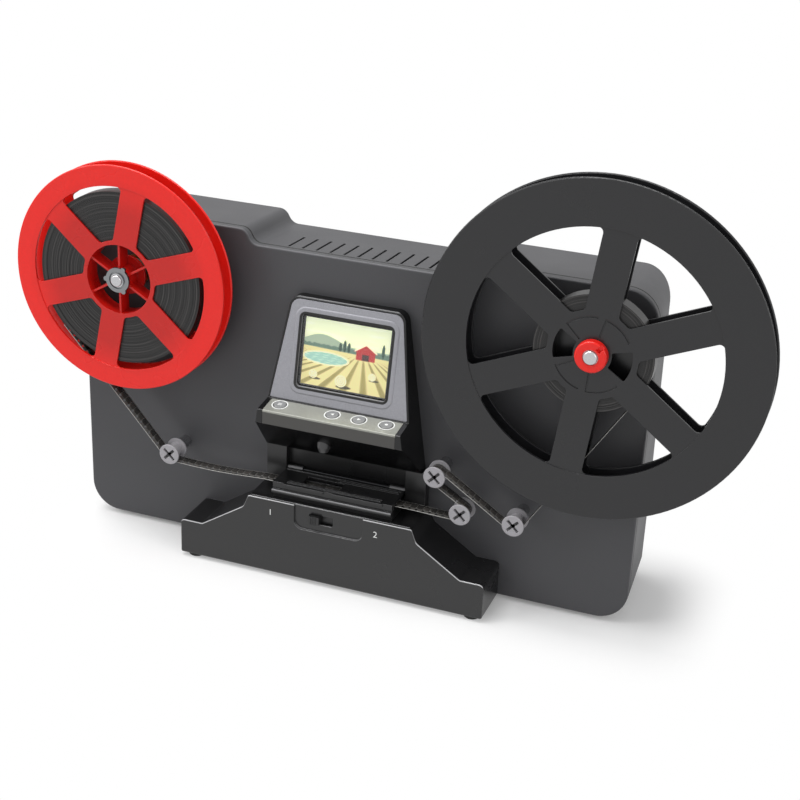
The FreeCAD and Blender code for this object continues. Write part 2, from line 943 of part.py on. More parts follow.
def light_well(gap, z0, z1):
    """The upright well under the lens that the light comes up through."""
    half = diffuser_half + gap
    return box(lens_x - half, lens_x + half, film_front_y + 0.3 - gap, film_back_y() - 0.6 + gap, z0, z1)


def rail_lugs():
    lugs = []
    for side in (-1, 1):
        inner = claw_x + side * rail_span
        x0 = min(inner, inner + side * lug_t)
        lug = box(x0, x0 + lug_t, claw_y - 2.2, claw_y + 2.2, rail_z - 2.4, deck_z)
        lugs.append(lug.cut(rod_x(claw_y, rail_z, rail_r, x0 - 1, x0 + lug_t + 1)))
    return lugs


def make_gate_frame():
    x0 = station_x - cheek_low_half
    x1 = station_x + cheek_low_half
    back = box(x0, x1, gate_back_y, 0, deck_z, head_low_z)
    left = box(x0, station_x - cheek_in_half, cheek_y, gate_back_y, deck_z, head_low_z)
    right = box(station_x + cheek_in_half, x1, cheek_y, gate_back_y, deck_z, head_low_z)
    frame = fused([back, left, right])
    length = cheek_in_half + pin_grip
    return frame.cut(rod_x(hinge_y, hinge_z, hinge_pin_r, station_x - length, station_x + length))


def make_hinge_pin():
    length = cheek_in_half + pin_grip
    return rod_x(hinge_y, hinge_z, hinge_pin_r, station_x - length, station_x + length)


def make_film_bed():
    top = bed_top_z()
    left = station_x - bed_half
    right = station_x + bed_half
    before = film_front_y - small_gap
    behind = film_back_y() + small_gap
    bed = fused([box(left, right, bed_front_y, gate_back_y - 0.2, deck_z, top),
                 box(left, right, before - guide_t, before, top, top + guide_h),
                 box(left, right, behind, behind + guide_t, top, top + guide_h)])
    slot_half = tooth_half + throw + claw_slot_play
    cuts = [box(left - 1, right + 1, behind + guide_t, 0, top - 1.2, top + 1),
            box(claw_x - slot_half, claw_x + slot_half, claw_y - claw_slot_play, claw_y + claw_slot_play,
                deck_z - 1, top + 1),
            light_well(trim_gap, deck_z - 1, top + 1)]
    for y in (bed_front_y + bed_groove_w, behind + guide_t + 2.2):
        cuts.append(box(left - 1, right + 1, y, y + bed_groove_w, top - bed_groove_w, top + 1))
    return fused([cut_all(bed, cuts)] + rail_lugs())


def make_diffuser():
    return light_well(0, deck_z - diffuser_deep, bed_top_z() - diffuser_sink)


def make_led_board():
    low = deck_z - diffuser_deep - small_gap - led_t
    front = switch_front_y() + switch_depth + small_gap
    board = box(lens_x - led_board_half, lens_x + led_board_half, front, led_board_back_y,
                low - board_t, low)
    half = led_size / 2
    lamp = box(lens_x - half, lens_x + half, lens_y - half, lens_y + half, low, low + led_t)
    return board.fuse(lamp).removeSplitter()


def door_hinge_side(side, half):
    """One end's knuckle and the arm that joins it to the door's plate."""
    end = station_x + side * half
    start = end - side * knuckle_length
    x0 = min(start, end)
    x1 = max(start, end)
    arm = box(x0, x1, hinge_y - knuckle_r - 0.7, hinge_y, door_low_z, door_low_z + door_t)
    return [rod_x(hinge_y, hinge_z, knuckle_r, x0, x1), arm]


def make_gate_door():
    half = cheek_in_half - small_gap
    left = station_x - half
    right = station_x + half
    top = door_low_z + door_t
    lip_front = door_lip_y + door_lip_in
    pieces = door_hinge_side(-1, half) + door_hinge_side(1, half)
    pieces.append(box(left, right, lip_front, hinge_y - knuckle_r - 0.6, door_low_z, top))
    pieces.append(box(left, right, lip_front, lip_front + door_lip_t, door_lip_z + door_bar_r, top))
    pieces.append(rod_x(door_bar_y, door_lip_z + door_bar_r, door_bar_r, left, right))
    pieces.append(box(left + door_step_left, right - door_step_right, door_lip_y, lip_front + 0.5,
                      door_low_z, top))
    for y, x0, x1, height in front_ribs + back_ribs:
        pieces.append(box(station_x + x0, station_x + x1, y, y + door_rib_w, top - 0.5, top + height))
    door = fused(pieces)
    window = rect(lens_x - door_open_half, lens_x + door_open_half, film_front_y - door_open_play,
                  film_back_y() + door_open_play, 1.0)
    notch_x = station_x + door_notch_x
    cuts = [floor_prism(window, door_low_z - 1, top + 2),
            box(notch_x - door_notch_w / 2, notch_x + door_notch_w / 2, door_lip_y - 1, lip_front,
                door_low_z - 1, top + 1),
            rod_x(hinge_y, hinge_z, hinge_pin_r + running_gap, left - 1, right + 1)]
    return cut_all(door, cuts).removeSplitter()


# Feed claw and its drive

def make_claw_rail():
    reach = rail_span + lug_t
    return rod_x(claw_y, rail_z, rail_r, claw_x - reach, claw_x + reach)


def make_film_claw():
    back = claw_y + claw_t / 2
    front = claw_y - claw_t / 2
    left = claw_x - claw_half
    right = claw_x + claw_half
    neck_half = tooth_half + tooth_shoulder
    pieces = [box(left, right, front, back, crank_z - claw_foot, rail_z + 2),
              rod_x(claw_y, rail_z, rail_r + claw_boss_t, left, right),
              box(claw_x - neck_half, claw_x + neck_half, front, back, rail_z, bed_top_z() - tooth_height),
              box(claw_x - tooth_half, claw_x + tooth_half, front, back, rail_z, bed_top_z())]
    reach_x = 2 * throw + crank_pin_r + yoke_play
    reach_z = throw + crank_pin_r + yoke_play
    window = box(claw_x - reach_x, claw_x + reach_x, front - 1, back + 1,
                 crank_z - reach_z, crank_z + reach_z)
    bore = rod_x(claw_y, rail_z, rail_r + running_gap, left - 1, right + 1)
    return fused(pieces).cut(window).cut(bore).removeSplitter()


def crank_back_y():
    return claw_y + claw_t / 2 + 4.5


def make_feed_crank():
    back = crank_back_y()
    disc = rod_y(claw_x, crank_z, crank_r, back - crank_t, back)
    pin = rod_y(claw_x, crank_z + throw, crank_pin_r, claw_y - claw_t / 2 - 0.4, back - crank_t)
    shaft = rod_y(claw_x, crank_z, motor_shaft_r, back, chassis_y + chassis_t + shaft_grip)
    return fused([disc, pin, shaft])


def motor(x, z, radius, length):
    front = chassis_y + chassis_t
    can = rod_y(x, z, radius, front, front + length)
    edges = [e for e in can.Edges if e.BoundBox.YMin > front + length - 1e-4]
    can = can.makeFillet(1.5, edges)
    return can.cut(rod_y(x, z, motor_shaft_r + running_gap, front - 1, front + shaft_bore_deep))


def make_feed_motor():
    return motor(claw_x, crank_z, feed_motor_r, motor_length)


# Reels

def window_cutter(x, z, inner, outer, spoke, angle, y0, y1):
    """The six windows between the spokes of a flange, with rounded corners."""
    ring = ring_y(x, z, outer, inner, y0, y1)
    for i in range(spoke_count):
        bar = box(x, x + outer + 5, y0 - 1, y1 + 1, z - spoke / 2, z + spoke / 2)
        ring = ring.cut(turned_y(bar, x, z, angle + i * 360 / spoke_count))
    windows = []
    for solid in ring.Solids:
        upright = [e for e in solid.Edges if abs(e.BoundBox.YLength - (y1 - y0)) < 1e-3]
        windows.append(solid.makeFillet(window_corner, upright))
    return windows


def flange(x, z, radius, rim, hub, spoke, angle, y0, y1, raised):
    """A reel flange: disc, windows, and a rim that stands proud of the spokes on one side."""
    disc = rod_y(x, z, radius, y0, y1)
    edges = [e for e in disc.Edges if e.BoundBox.XLength > radius and e.BoundBox.YLength < 1e-3]
    disc = disc.makeFillet(0.6, edges)
    step_from = y0 - 1 if raised < 0 else y1 - rim_step
    disc = disc.cut(rod_y(x, z, radius - rim, step_from, step_from + 1 + rim_step))
    return cut_all(disc, window_cutter(x, z, hub, radius - rim, spoke, angle, y0 - 1, y1 + 1))


def inner_front_y():
    return reel_front_y + flange_t


def inner_rear_y():
    return inner_front_y() + reel_inside


def reel_rear_y():
    return inner_rear_y() + flange_t


def make_supply_reel_front():
    x, z = supply_x, supply_z
    disc = flange(x, z, supply_r, supply_rim, supply_hub_r + 0.8, supply_spoke, supply_spoke_angle,
                  reel_front_y, inner_front_y(), -1)
    inner = supply_hub_r - hub_wall
    back = reel_rear_y()
    disc = disc.cut(rod_y(x, z, inner, reel_front_y - 1, inner_front_y() + 1))
    drum = ring_y(x, z, supply_hub_r, inner, reel_front_y + rim_step, inner_rear_y())
    pieces = [disc, drum, rod_y(x, z, supply_boss_r, reel_front_y + rim_step, back)]
    pieces.append(rod_y(x, z, supply_boss_ring_r, back - supply_boss_ring_t, back))
    for i in range(spoke_count):
        web = box(x + supply_boss_r - 1, x + inner + 0.5, reel_front_y + web_sink, inner_rear_y(),
                  z - supply_web / 2, z + supply_web / 2)
        pieces.append(turned_y(web, x, z, supply_web_angle + i * 360 / spoke_count))
    return fused(pieces).cut(rod_y(x, z, spindle_r + running_gap, reel_front_y - 1, reel_rear_y() + 1))


def make_supply_reel_rear():
    x, z = supply_x, supply_z
    disc = flange(x, z, supply_r, supply_rim, supply_hub_r + 0.8, supply_spoke, supply_spoke_angle,
                  inner_rear_y(), reel_rear_y(), 1)
    return disc.cut(rod_y(x, z, supply_hub_r - hub_wall, inner_rear_y() - 1, reel_rear_y() + 1))


def sector(x, z, inner, outer, centre, spread, y0, y1):
    """A ring's sector between two angles."""
    ring = ring_y(x, z, outer, inner, y0, y1)
    below = box(x - outer - 1, x + outer + 1, y0 - 1, y1 + 1, z - 2 * outer, z)
    above = box(x - outer - 1, x + outer + 1, y0 - 1, y1 + 1, z, z + 2 * outer)
    ring = ring.cut(turned_y(below, x, z, centre - spread / 2))
    return ring.cut(turned_y(above, x, z, centre + spread / 2))


def hub_marks(x, z, centre, turn):
    """A shallow line round a closed hub field, and one along its side."""
    face = reel_front_y + rim_step
    arc = sector(x, z, hub_hole_out - takeup_mark_w, hub_hole_out, centre, hub_hole_spread,
                 face - 1, face + takeup_mark_t)
    line = box(x + hub_hole_in, x + hub_hole_out, face - 1, face + takeup_mark_t,
               z - takeup_mark_w / 2, z + takeup_mark_w / 2)
    return [arc, turned_y(line, x, z, centre + turn * hub_hole_spread / 2)]


def make_takeup_reel_front():
    x, z = takeup_x, takeup_z
    disc = flange(x, z, takeup_r, takeup_rim, takeup_hub_r + 0.8, takeup_spoke, takeup_spoke_angle,
                  reel_front_y, inner_front_y(), -1)
    drum = ring_y(x, z, takeup_hub_r, takeup_hub_r - hub_wall, inner_front_y(), inner_rear_y())
    boss = rod_y(x, z, takeup_boss_r, reel_front_y + rim_step, reel_rear_y())
    part = fused([disc, drum, boss])
    for i in range(spoke_count):
        centre = hub_hole_angle + i * 360 / spoke_count
        if i in (0, 3):
            hole = sector(x, z, hub_hole_in, hub_hole_out, centre, hub_hole_spread,
                          reel_front_y - 1, inner_front_y() + 1)
            upright = [e for e in hole.Edges if e.BoundBox.XLength < 1e-3 and e.BoundBox.ZLength < 1e-3]
            part = part.cut(hole.makeFillet(hub_edge, upright))
        else:
            part = cut_all(part, hub_marks(x, z, centre, 1 if i < 3 else -1))
    return part.cut(rod_y(x, z, spindle_r + running_gap, reel_front_y - 1, reel_rear_y() + 1))


def make_takeup_reel_rear():
    x, z = takeup_x, takeup_z
    disc = flange(x, z, takeup_r, takeup_rim, takeup_hub_r + 0.8, takeup_spoke, takeup_spoke_angle,
                  inner_rear_y(), reel_rear_y(), 1)
    return disc.cut(rod_y(x, z, takeup_boss_r + trim_gap, inner_rear_y() - 1, reel_rear_y() + 1))


def wound_film(x, z, inner, outer, start_angle):
    """One unbroken strip of film wound on its hub, as half turns about two centres."""
    turns = int((outer - inner) / wind_pitch)
    tape = wind_pitch - wind_gap
    half = wind_pitch / 2
    first = outer - turns * wind_pitch
    edges_out = []
    edges_in = []
    y = film_front_y
    for k in range(2 * turns):
        radius = first + k * half
        shift = half / 2 if k % 2 else -half / 2
        sign = -1 if k % 2 else 1
        for edges, r in ((edges_out, radius), (edges_in, radius - tape)):
            start = Vector(x + shift + sign * r, y, z)
            peak = Vector(x + shift, y, z + sign * r)
            end = Vector(x + shift - sign * r, y, z)
            edges.append(Part.Arc(start, peak, end).toShape())
    last_out = edges_out[-1].Vertexes[-1].Point
    last_in = edges_in[-1].Vertexes[-1].Point
    first_out = edges_out[0].Vertexes[0].Point
    first_in = edges_in[0].Vertexes[0].Point
    caps = [Part.makeLine(last_out, last_in), Part.makeLine(first_in, first_out)]
    wire = Part.Wire(Part.__sortEdges__(edges_out + edges_in + caps))
    solid = Part.Face(wire).extrude(Vector(0, film_width, 0))
    print("wound film: turns", turns, "least gap to itself", round(wind_gap, 3))
    return turned_y(solid, x, z, start_angle)


def make_supply_film():
    first_r = supply_hub_r + pack_gap + wind_pitch
    return wound_film(supply_x, supply_z, first_r, supply_pack_r, supply_film_end)


def make_takeup_film():
    first_r = takeup_hub_r + pack_gap + wind_pitch
    return wound_film(takeup_x, takeup_z, first_r, takeup_pack_r, takeup_film_end)


# Spindles

def make_bush(x, z):
    body = rod_y(x, z, bush_r, -bush_flange_t, bush_length)
    rim = rod_y(x, z, bush_flange_r, -bush_flange_t, 0)
    return fused([body, rim]).cut(rod_y(x, z, spindle_r + running_gap, -10, bush_length + 1))


def make_supply_brake():
    back = -bush_flange_t
    return ring_y(supply_x, supply_z, collar_r - 0.5, spindle_r + small_gap, back - brake_t, back)


def make_supply_spindle():
    x, z = supply_x, supply_z
    back = bush_length + axial_gap + clip_t + 2
    shaft = rod_y(x, z, spindle_r, reel_front_y - 1.2, back)
    nose = rod_y(x, z, supply_nose_r, supply_nose_y, reel_front_y - 1.2)
    tip = [e for e in nose.Edges if e.BoundBox.YMax < supply_nose_y + 1e-4]
    nose = nose.makeFillet(1.0, tip)
    collar = rod_y(x, z, collar_r, reel_rear_y(), -bush_flange_t - brake_t - axial_gap)
    clip = rod_y(x, z, clip_r, bush_length + axial_gap, bush_length + axial_gap + clip_t)
    return fused([shaft, nose, collar, clip])


def make_supply_washer():
    x, z = supply_x, supply_z
    face = reel_front_y + rim_step
    plate = rod_y(x, z, washer_r, face - washer_t, face)
    lugs = []
    for k in range(3):
        lx, lz = at_angle(x, z, washer_r, 60 + k * 120)
        lugs.append(rod_y(lx, lz, lug_r, face - washer_t, face))
    front = face - washer_t
    cuts = [rod_y(x, z, spindle_r + running_gap, front - 1, face + 1),
            rod_y(x, z, washer_sink_r, front - 1, front + washer_sink)]
    return cut_all(fused([plate] + lugs), cuts)


def make_takeup_spindle():
    x, z = takeup_x, takeup_z
    shaft = rod_y(x, z, spindle_r, adapter_y + 0.4, chassis_y - 1)
    nose = rod_y(x, z, takeup_nose_r, takeup_nose_y, adapter_y + 0.4)
    tip = [e for e in nose.Edges if e.BoundBox.YMax < takeup_nose_y + 1e-4]
    nose = nose.makeFillet(1.2, tip)
    collar = rod_y(x, z, collar_r, reel_rear_y(), -bush_flange_t - axial_gap)
    return fused([shaft, nose, collar])


def make_takeup_adapter():
    x, z = takeup_x, takeup_z
    body = rod_y(x, z, adapter_r, adapter_y, reel_front_y + rim_step)
    rim = [e for e in body.Edges if e.BoundBox.YMax < adapter_y + 1e-4]
    body = body.makeFillet(1.2, rim)
    notch = box(x + spindle_r + 1.0, x + adapter_r + 1, adapter_y - 1, adapter_y + 2,
                z - adapter_notch_w / 2, z + adapter_notch_w / 2)
    notch = turned_y(notch, x, z, adapter_notch_angle)
    bore = rod_y(x, z, spindle_r + running_gap, adapter_y - 1, reel_front_y + rim_step + 1)
    return body.cut(notch).cut(bore)


def pulley(x, z, radius, bore_r):
    y0 = pulley_y
    y1 = pulley_y + pulley_t
    disc = rod_y(x, z, radius + pulley_rim, y0, y1)
    groove = ring_y(x, z, radius + pulley_rim + 1, radius, y0 + pulley_lip, y1 - pulley_lip)
    return disc.cut(groove).cut(rod_y(x, z, bore_r, y0 - 1, y1 + 1))


def make_takeup_pulley():
    middle_r = (pulley_r + spindle_r) / 2
    holes = []
    for k in range(pulley_hole_count):
        x, z = at_angle(takeup_x, takeup_z, middle_r, 360 / pulley_hole_count * k)
        holes.append(rod_y(x, z, pulley_hole_r, pulley_y - 1, pulley_y + pulley_t + 1))
    return cut_all(pulley(takeup_x, takeup_z, pulley_r, spindle_r + running_gap), holes)


def motor_spot():
    return takeup_x + motor_dx, takeup_z + motor_dz


def make_motor_pulley():
    x, z = motor_spot()
    wheel = pulley(x, z, motor_pulley_r, 1.0)
    shaft = rod_y(x, z, motor_shaft_r, pulley_y, chassis_y + chassis_t + shaft_grip)
    return wheel.fuse(shaft).removeSplitter()


def make_takeup_motor():
    x, z = motor_spot()
    return motor(x, z, motor_r, motor_length)


def tangent(start, start_r, end, end_r):
    """The line that touches two circles; a radius is plus where the way turns left round it."""
    gap = Vector(end[0] - start[0], end[1] - start[1], 0)
    lean = math.asin((end_r - start_r) / gap.Length)
    heading = math.atan2(gap.y, gap.x) - lean
    left = Vector(-math.sin(heading), math.cos(heading), 0)
    first = Vector(start[0], start[1], 0) - left * start_r
    last = Vector(end[0], end[1], 0) - left * end_r
    return first, last, heading


def arc_round(centre, radius, heading_in, heading_out):
    """Start, middle and end of the arc between two headings round one circle."""
    turn = heading_out - heading_in
    sign = 1 if radius > 0 else -1
    while turn * sign < 0:
        turn += sign * 2 * math.pi
    points = []
    for share in (0, 0.5, 1):
        heading = heading_in + turn * share
        left = Vector(-math.sin(heading), math.cos(heading), 0)
        points.append(Vector(centre[0], centre[1], 0) - left * radius)
    return points


def run_edges(circles, shift, closed):
    """Straight runs and arcs of a way round circles (x, z, radius), shifted to its left."""
    rounds = [((x, z), r - shift) for x, z, r in circles]
    following = rounds[1:] + rounds[:1] if closed else rounds[1:]
    pairs = list(zip(rounds, following))
    lines = [tangent(a[0], a[1], b[0], b[1]) for a, b in pairs]

    def flat(p):
        return Vector(p.x, 0, p.y)
    edges = []
    for i, (first, last, heading) in enumerate(lines):
        edges.append(Part.makeLine(flat(first), flat(last)))
        if i + 1 < len(lines) or closed:
            centre, radius = pairs[i][1]
            points = arc_round(centre, radius, heading, lines[(i + 1) % len(lines)][2])
            edges.append(Part.Arc(*[flat(p) for p in points]).toShape())
    return edges


def make_drive_belt():
    mx, mz = motor_spot()
    play = belt_play
    circles = [(takeup_x, takeup_z, pulley_r + play), (mx, mz, motor_pulley_r + play)]
    inner = Part.Face(Part.Wire(run_edges(circles, 0, True)))
    outer = Part.Face(Part.Wire(run_edges(circles, -belt_t, True)))
    band = outer.cut(inner).extrude(Vector(0, pulley_t - 2 * pulley_lip - 2 * small_gap, 0))
    return band.translated(Vector(0, pulley_y + pulley_lip + small_gap, 0))


def film_circles():
    """What the film runs round, reel to reel; it turns left round plus radii."""
    wrap = roller_core_r + small_gap + film_t / 2
    sag_z = film_z - sag_drop + sag_r
    return [(supply_x, supply_z, supply_pack_r + small_gap + film_t / 2),
            (roller_one[0], roller_one[1], wrap),
            (station_x - sag_in, sag_z, sag_r),
            (station_x - gate_in, film_z - ease_r, -ease_r),
            (station_x + gate_out, film_z - ease_r, -ease_r),
            (roller_three[0], roller_three[1], wrap),
            (roller_two[0], roller_two[1], -wrap),
            (roller_four[0], roller_four[1], wrap),
            (takeup_x, takeup_z, takeup_pack_r + small_gap + film_t / 2)]


def make_film_strip():
    left = run_edges(film_circles(), film_t / 2, False)
    right = run_edges(film_circles(), -film_t / 2, False)
    caps = [Part.makeLine(left[0].Vertexes[0].Point, right[0].Vertexes[0].Point),
            Part.makeLine(left[-1].Vertexes[-1].Point, right[-1].Vertexes[-1].Point)]
    wire = Part.Wire(Part.__sortEdges__(left + right + caps))
    strip = Part.Face(wire).extrude(Vector(0, film_width, 0))
    return strip.translated(Vector(0, film_front_y, 0))


# Guide rollers

def roller_back_y():
    return film_back_y() + roller_play + roller_flange


def roller_front_y():
    return film_front_y - roller_play - roller_flange


def make_roller(x, z):
    front, back = roller_front_y(), roller_back_y()
    core = rod_y(x, z, roller_core_r, front, back)
    plates = [rod_y(x, z, roller_r, front, front + roller_flange),
              rod_y(x, z, roller_r, back - roller_flange, back)]
    edges = [e for e in plates[0].Edges if e.BoundBox.YMax < front + 1e-4]
    plates[0] = plates[0].makeFillet(0.4, edges)
    body = fused([core] + plates)
    bore = rod_y(x, z, post_r + running_gap, front + roller_cap, back + 1)
    arms = []
    for k in (45, 135):
        arm = box(x - cross_reach, x + cross_reach, front - 1, front + cross_deep,
                  z - cross_w / 2, z + cross_w / 2)
        arms.append(turned_y(arm, x, z, k))
    return cut_all(body, [bore] + arms)


def make_roller_posts():
    posts = []
    for x, z in roller_spots:
        shaft = rod_y(x, z, post_r, roller_front_y() + roller_cap + small_gap, wall + nut_t + 0.6)
        collar = rod_y(x, z, post_collar_r, roller_back_y() + small_gap, 0)
        nut = rod_y(x, z, nut_r, wall, wall + nut_t)
        posts.append(fused([shaft, collar, nut]))
    return Part.makeCompound(posts)


# Inner plate, boards and sockets

def make_chassis():
    mx, mz = motor_spot()
    corners = [(claw_x - 24, 24, 6), (claw_x + 42, 24, 6), (takeup_x + 11, mz, 6),
               (takeup_x + 11, takeup_z + 14, 6), (takeup_x - 20, takeup_z + 14, 6),
               (claw_x - 24, crank_z + 28, 6)]
    plate = front_prism(corners, chassis_y, chassis_y + chassis_t)
    spots = [(claw_x - 17, 31), (claw_x + 36, 31), (takeup_x - 2, takeup_z - 34), (mx + 6, mz + 30)]
    legs = [rod_y(x, z, standoff_r, wall, chassis_y) for x, z in spots]
    holes = [rod_y(takeup_x, takeup_z, spindle_r + 3, chassis_y - 1, chassis_y + 5),
             rod_y(mx, mz, motor_shaft_r + 1.5, chassis_y - 1, chassis_y + 5),
             rod_y(claw_x, crank_z, motor_shaft_r + 1.5, chassis_y - 1, chassis_y + 5)]
    return cut_all(fused([plate] + legs), holes)


def make_main_board():
    x0, x1, z0, z1 = main_board
    front = main_board_y
    pieces = [box(x0, x1, front, front + main_board_t, z0, z1)]
    for dx, dz, width, height, thick in chip_spots:
        pieces.append(box(x0 + dx, x0 + dx + width, front - thick, front, z0 + dz, z0 + dz + height))
    return fused(pieces)


def socket_front_y():
    return main_board_y + main_board_t


def make_card_slot():
    half = card_w / 2
    back = rear_low_y - wall - small_gap
    shell = box(card_x - half - socket_wall, card_x + half + socket_wall, socket_front_y(), back,
                socket_z - card_h / 2 - socket_wall, socket_z + card_h / 2 + socket_wall)
    mouth = box(card_x - half, card_x + half, socket_front_y() + 1.5, back + 1,
                socket_z - card_h / 2, socket_z + card_h / 2)
    return shell.cut(mouth)


def make_data_port():
    half = port_w / 2
    end = rear_low_y - 0.6
    corners = rect(port_x - half, port_x + half, socket_z - port_h / 2, socket_z + port_h / 2, 0.6)
    shell = front_prism(corners, socket_front_y(), end)
    mouth = front_prism(inset(corners, port_wall), end - 6, end + 1)
    tongue = box(port_x - half + 1.2, port_x + half - 1.2, end - 6.5, end - 1,
                 socket_z - 0.35, socket_z + 0.35)
    return shell.cut(mouth).fuse(tongue).removeSplitter()


def make_power_jack():
    half = jack_size / 2
    end = rear_low_y - 0.4
    block = box(jack_x - half, jack_x + half, socket_front_y(), rear_low_y - wall - small_gap,
                socket_z - half, socket_z + half)
    nose = rod_y(jack_x, socket_z, jack_nose_r, socket_front_y() + 1, end)
    bore = rod_y(jack_x, socket_z, jack_bore_r, end - jack_bore_deep, end + 1)
    pin = rod_y(jack_x, socket_z, jack_pin_r, end - jack_bore_deep - 0.5, end - 1)
    return block.fuse(nose).cut(bore).fuse(pin).removeSplitter()


def centring():
    """The shift that puts the middle of the part's length and depth over the origin."""
    middle_x = (supply_x - supply_r + takeup_x + takeup_r) / 2
    foremost = min(lip_y, -base_depth - knob_proud)
    middle_y = (foremost + rear_low_y) / 2
    return Vector(-middle_x, -middle_y, 0)


def all_nodes():
    nodes = {
        "front_cover": make_front_cover(),
        "rear_cover": make_rear_cover(),
        "cover_screws": make_cover_screws(),
        "rubber_feet": make_feet(),
        "base_shell": make_base_shell(),
        "base_plate": make_base_plate(),
        "switch_knob": make_switch_knob(),
        "switch_body": make_switch_body(),
        "screen_housing": make_screen_housing(),
        "screen_bezel": make_bezel(),
        "screen_window": make_screen_window(),
        "screen_module": make_screen_module(),
        "button_plate": make_button_plate(),
        "button_board": make_button_board(),
        "camera_module": make_camera_module(),
        "camera_barrel": make_camera_barrel(),
        "camera_lens": make_camera_lens(),
        "gate_frame": make_gate_frame(),
        "gate_hinge_pin": make_hinge_pin(),
        "film_bed": make_film_bed(),
        "light_diffuser": make_diffuser(),
        "light_board": make_led_board(),
        "gate_door": make_gate_door(),
        "claw_rail": make_claw_rail(),
        "film_claw": make_film_claw(),
        "feed_crank": make_feed_crank(),
        "feed_motor": make_feed_motor(),
        "supply_reel_front": make_supply_reel_front(),
        "supply_reel_rear": make_supply_reel_rear(),
        "supply_film": make_supply_film(),
        "supply_spindle": make_supply_spindle(),
        "supply_bush": make_bush(supply_x, supply_z),
        "supply_brake": make_supply_brake(),
        "supply_washer": make_supply_washer(),
        "takeup_reel_front": make_takeup_reel_front(),
        "takeup_reel_rear": make_takeup_reel_rear(),
        "takeup_film": make_takeup_film(),
        "takeup_spindle": make_takeup_spindle(),
        "takeup_bush": make_bush(takeup_x, takeup_z),
        "takeup_adapter": make_takeup_adapter(),
        "takeup_pulley": make_takeup_pulley(),
        "motor_pulley": make_motor_pulley(),
        "takeup_motor": make_takeup_motor(),
        "drive_belt": make_drive_belt(),
        "film_strip": make_film_strip(),
        "roller_posts": make_roller_posts(),
        "inner_chassis": make_chassis(),
        "main_board": make_main_board(),
        "card_slot": make_card_slot(),
        "data_port": make_data_port(),
        "power_jack": make_power_jack(),
    }
    for name, offset in zip(button_names, button_offsets):
        nodes[name] = make_button(offset)
    for i, (x, z) in enumerate(roller_spots):
        nodes["roller_" + str(i + 1)] = make_roller(x, z)
    return nodes


os.makedirs("parts", exist_ok=True)
shift = centring()
for name, shape in all_nodes().items():
    placed = shape.translated(shift)
    placed.exportStep("parts/" + name + ".step")
    print(name, "solids", len(placed.Solids), "valid", placed.isValid(), "volume", round(placed.Volume, 1))
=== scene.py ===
import math
import bpy
import numpy as np
from mathutils import Matrix, Vector


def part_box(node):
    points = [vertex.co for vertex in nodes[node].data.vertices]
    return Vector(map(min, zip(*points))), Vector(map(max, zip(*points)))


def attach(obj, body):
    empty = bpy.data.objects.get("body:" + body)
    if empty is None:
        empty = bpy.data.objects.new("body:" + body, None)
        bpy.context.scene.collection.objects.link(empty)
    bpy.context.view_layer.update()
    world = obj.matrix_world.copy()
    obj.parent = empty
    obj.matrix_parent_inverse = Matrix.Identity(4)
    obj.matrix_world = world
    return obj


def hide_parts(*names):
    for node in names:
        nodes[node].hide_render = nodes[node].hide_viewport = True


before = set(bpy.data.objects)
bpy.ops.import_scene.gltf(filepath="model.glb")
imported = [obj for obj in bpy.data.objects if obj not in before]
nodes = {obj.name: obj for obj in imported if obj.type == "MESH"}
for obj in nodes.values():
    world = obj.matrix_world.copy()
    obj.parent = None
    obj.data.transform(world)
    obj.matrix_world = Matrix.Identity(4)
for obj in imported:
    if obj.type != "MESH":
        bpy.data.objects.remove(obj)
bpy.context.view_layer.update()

# The camera stands in front of the object, a little to its right and above it, as in the
# photograph, with a 36 mm wide sensor.
MM = 0.001
eye = Vector((266.0, -733.3, 438.0)) * MM
camera_right = Vector((0.9359, 0.3497, 0.0416)).normalized()
camera_up = Vector((-0.1753, 0.3603, 0.9162)).normalized()
camera_back = camera_right.cross(camera_up)
turn = Matrix((camera_right, camera_up, camera_back)).transposed().to_4x4()
camera_data = bpy.data.cameras.new("camera")
camera_data.sensor_width = 36.0
camera_data.lens = 69.41
camera_data.clip_end = 20.0
camera = bpy.data.objects.new("camera", camera_data)
camera.matrix_world = Matrix.Translation(eye) @ turn
bpy.context.scene.collection.objects.link(camera)
bpy.context.scene.camera = camera
bpy.context.scene.view_settings.view_transform = "Standard"


# The floor and the backdrop are one pale sweep of paper. The world is a plain studio:
# white behind the object and in what it mirrors, softer as light on it.
def colour(code):
    """A hex sRGB colour as linear red, green, blue and alpha."""
    parts = [int(code[i:i + 2], 16) / 255 for i in (1, 3, 5)]
    return [p / 12.92 if p <= 0.04045 else ((p + 0.055) / 1.055) ** 2.4 for p in parts] + [1.0]


def add(tree, kind, inputs=None, **settings):
    """One node: settings are its own fields, and inputs gives sockets a value or a link."""
    node = tree.nodes.new(kind)
    for field, value in settings.items():
        setattr(node, field, value)
    for name, value in (inputs or {}).items():
        if isinstance(value, bpy.types.NodeSocket):
            tree.links.new(value, node.inputs[name])
        else:
            node.inputs[name].default_value = value
    return node


def new_material(name):
    """An empty material's node tree, with its name."""
    material = bpy.data.materials.new(name)
    material.use_nodes = True
    material.node_tree.nodes.clear()
    return material, material.node_tree


def mesh_object(name, points, faces, smooth_degrees=None):
    """A mesh of numpy points and faces; edges sharper than the angle stay sharp."""
    mesh = bpy.data.meshes.new(name)
    mesh.from_pydata(np.asarray(points, float).tolist(), [], [list(map(int, f)) for f in faces])
    mesh.validate()
    piece = bpy.data.objects.new(name, mesh)
    bpy.context.scene.collection.objects.link(piece)
    if smooth_degrees is not None:
        mesh.shade_smooth()
        mesh.set_sharp_from_angle(angle=math.radians(smooth_degrees))
    return piece


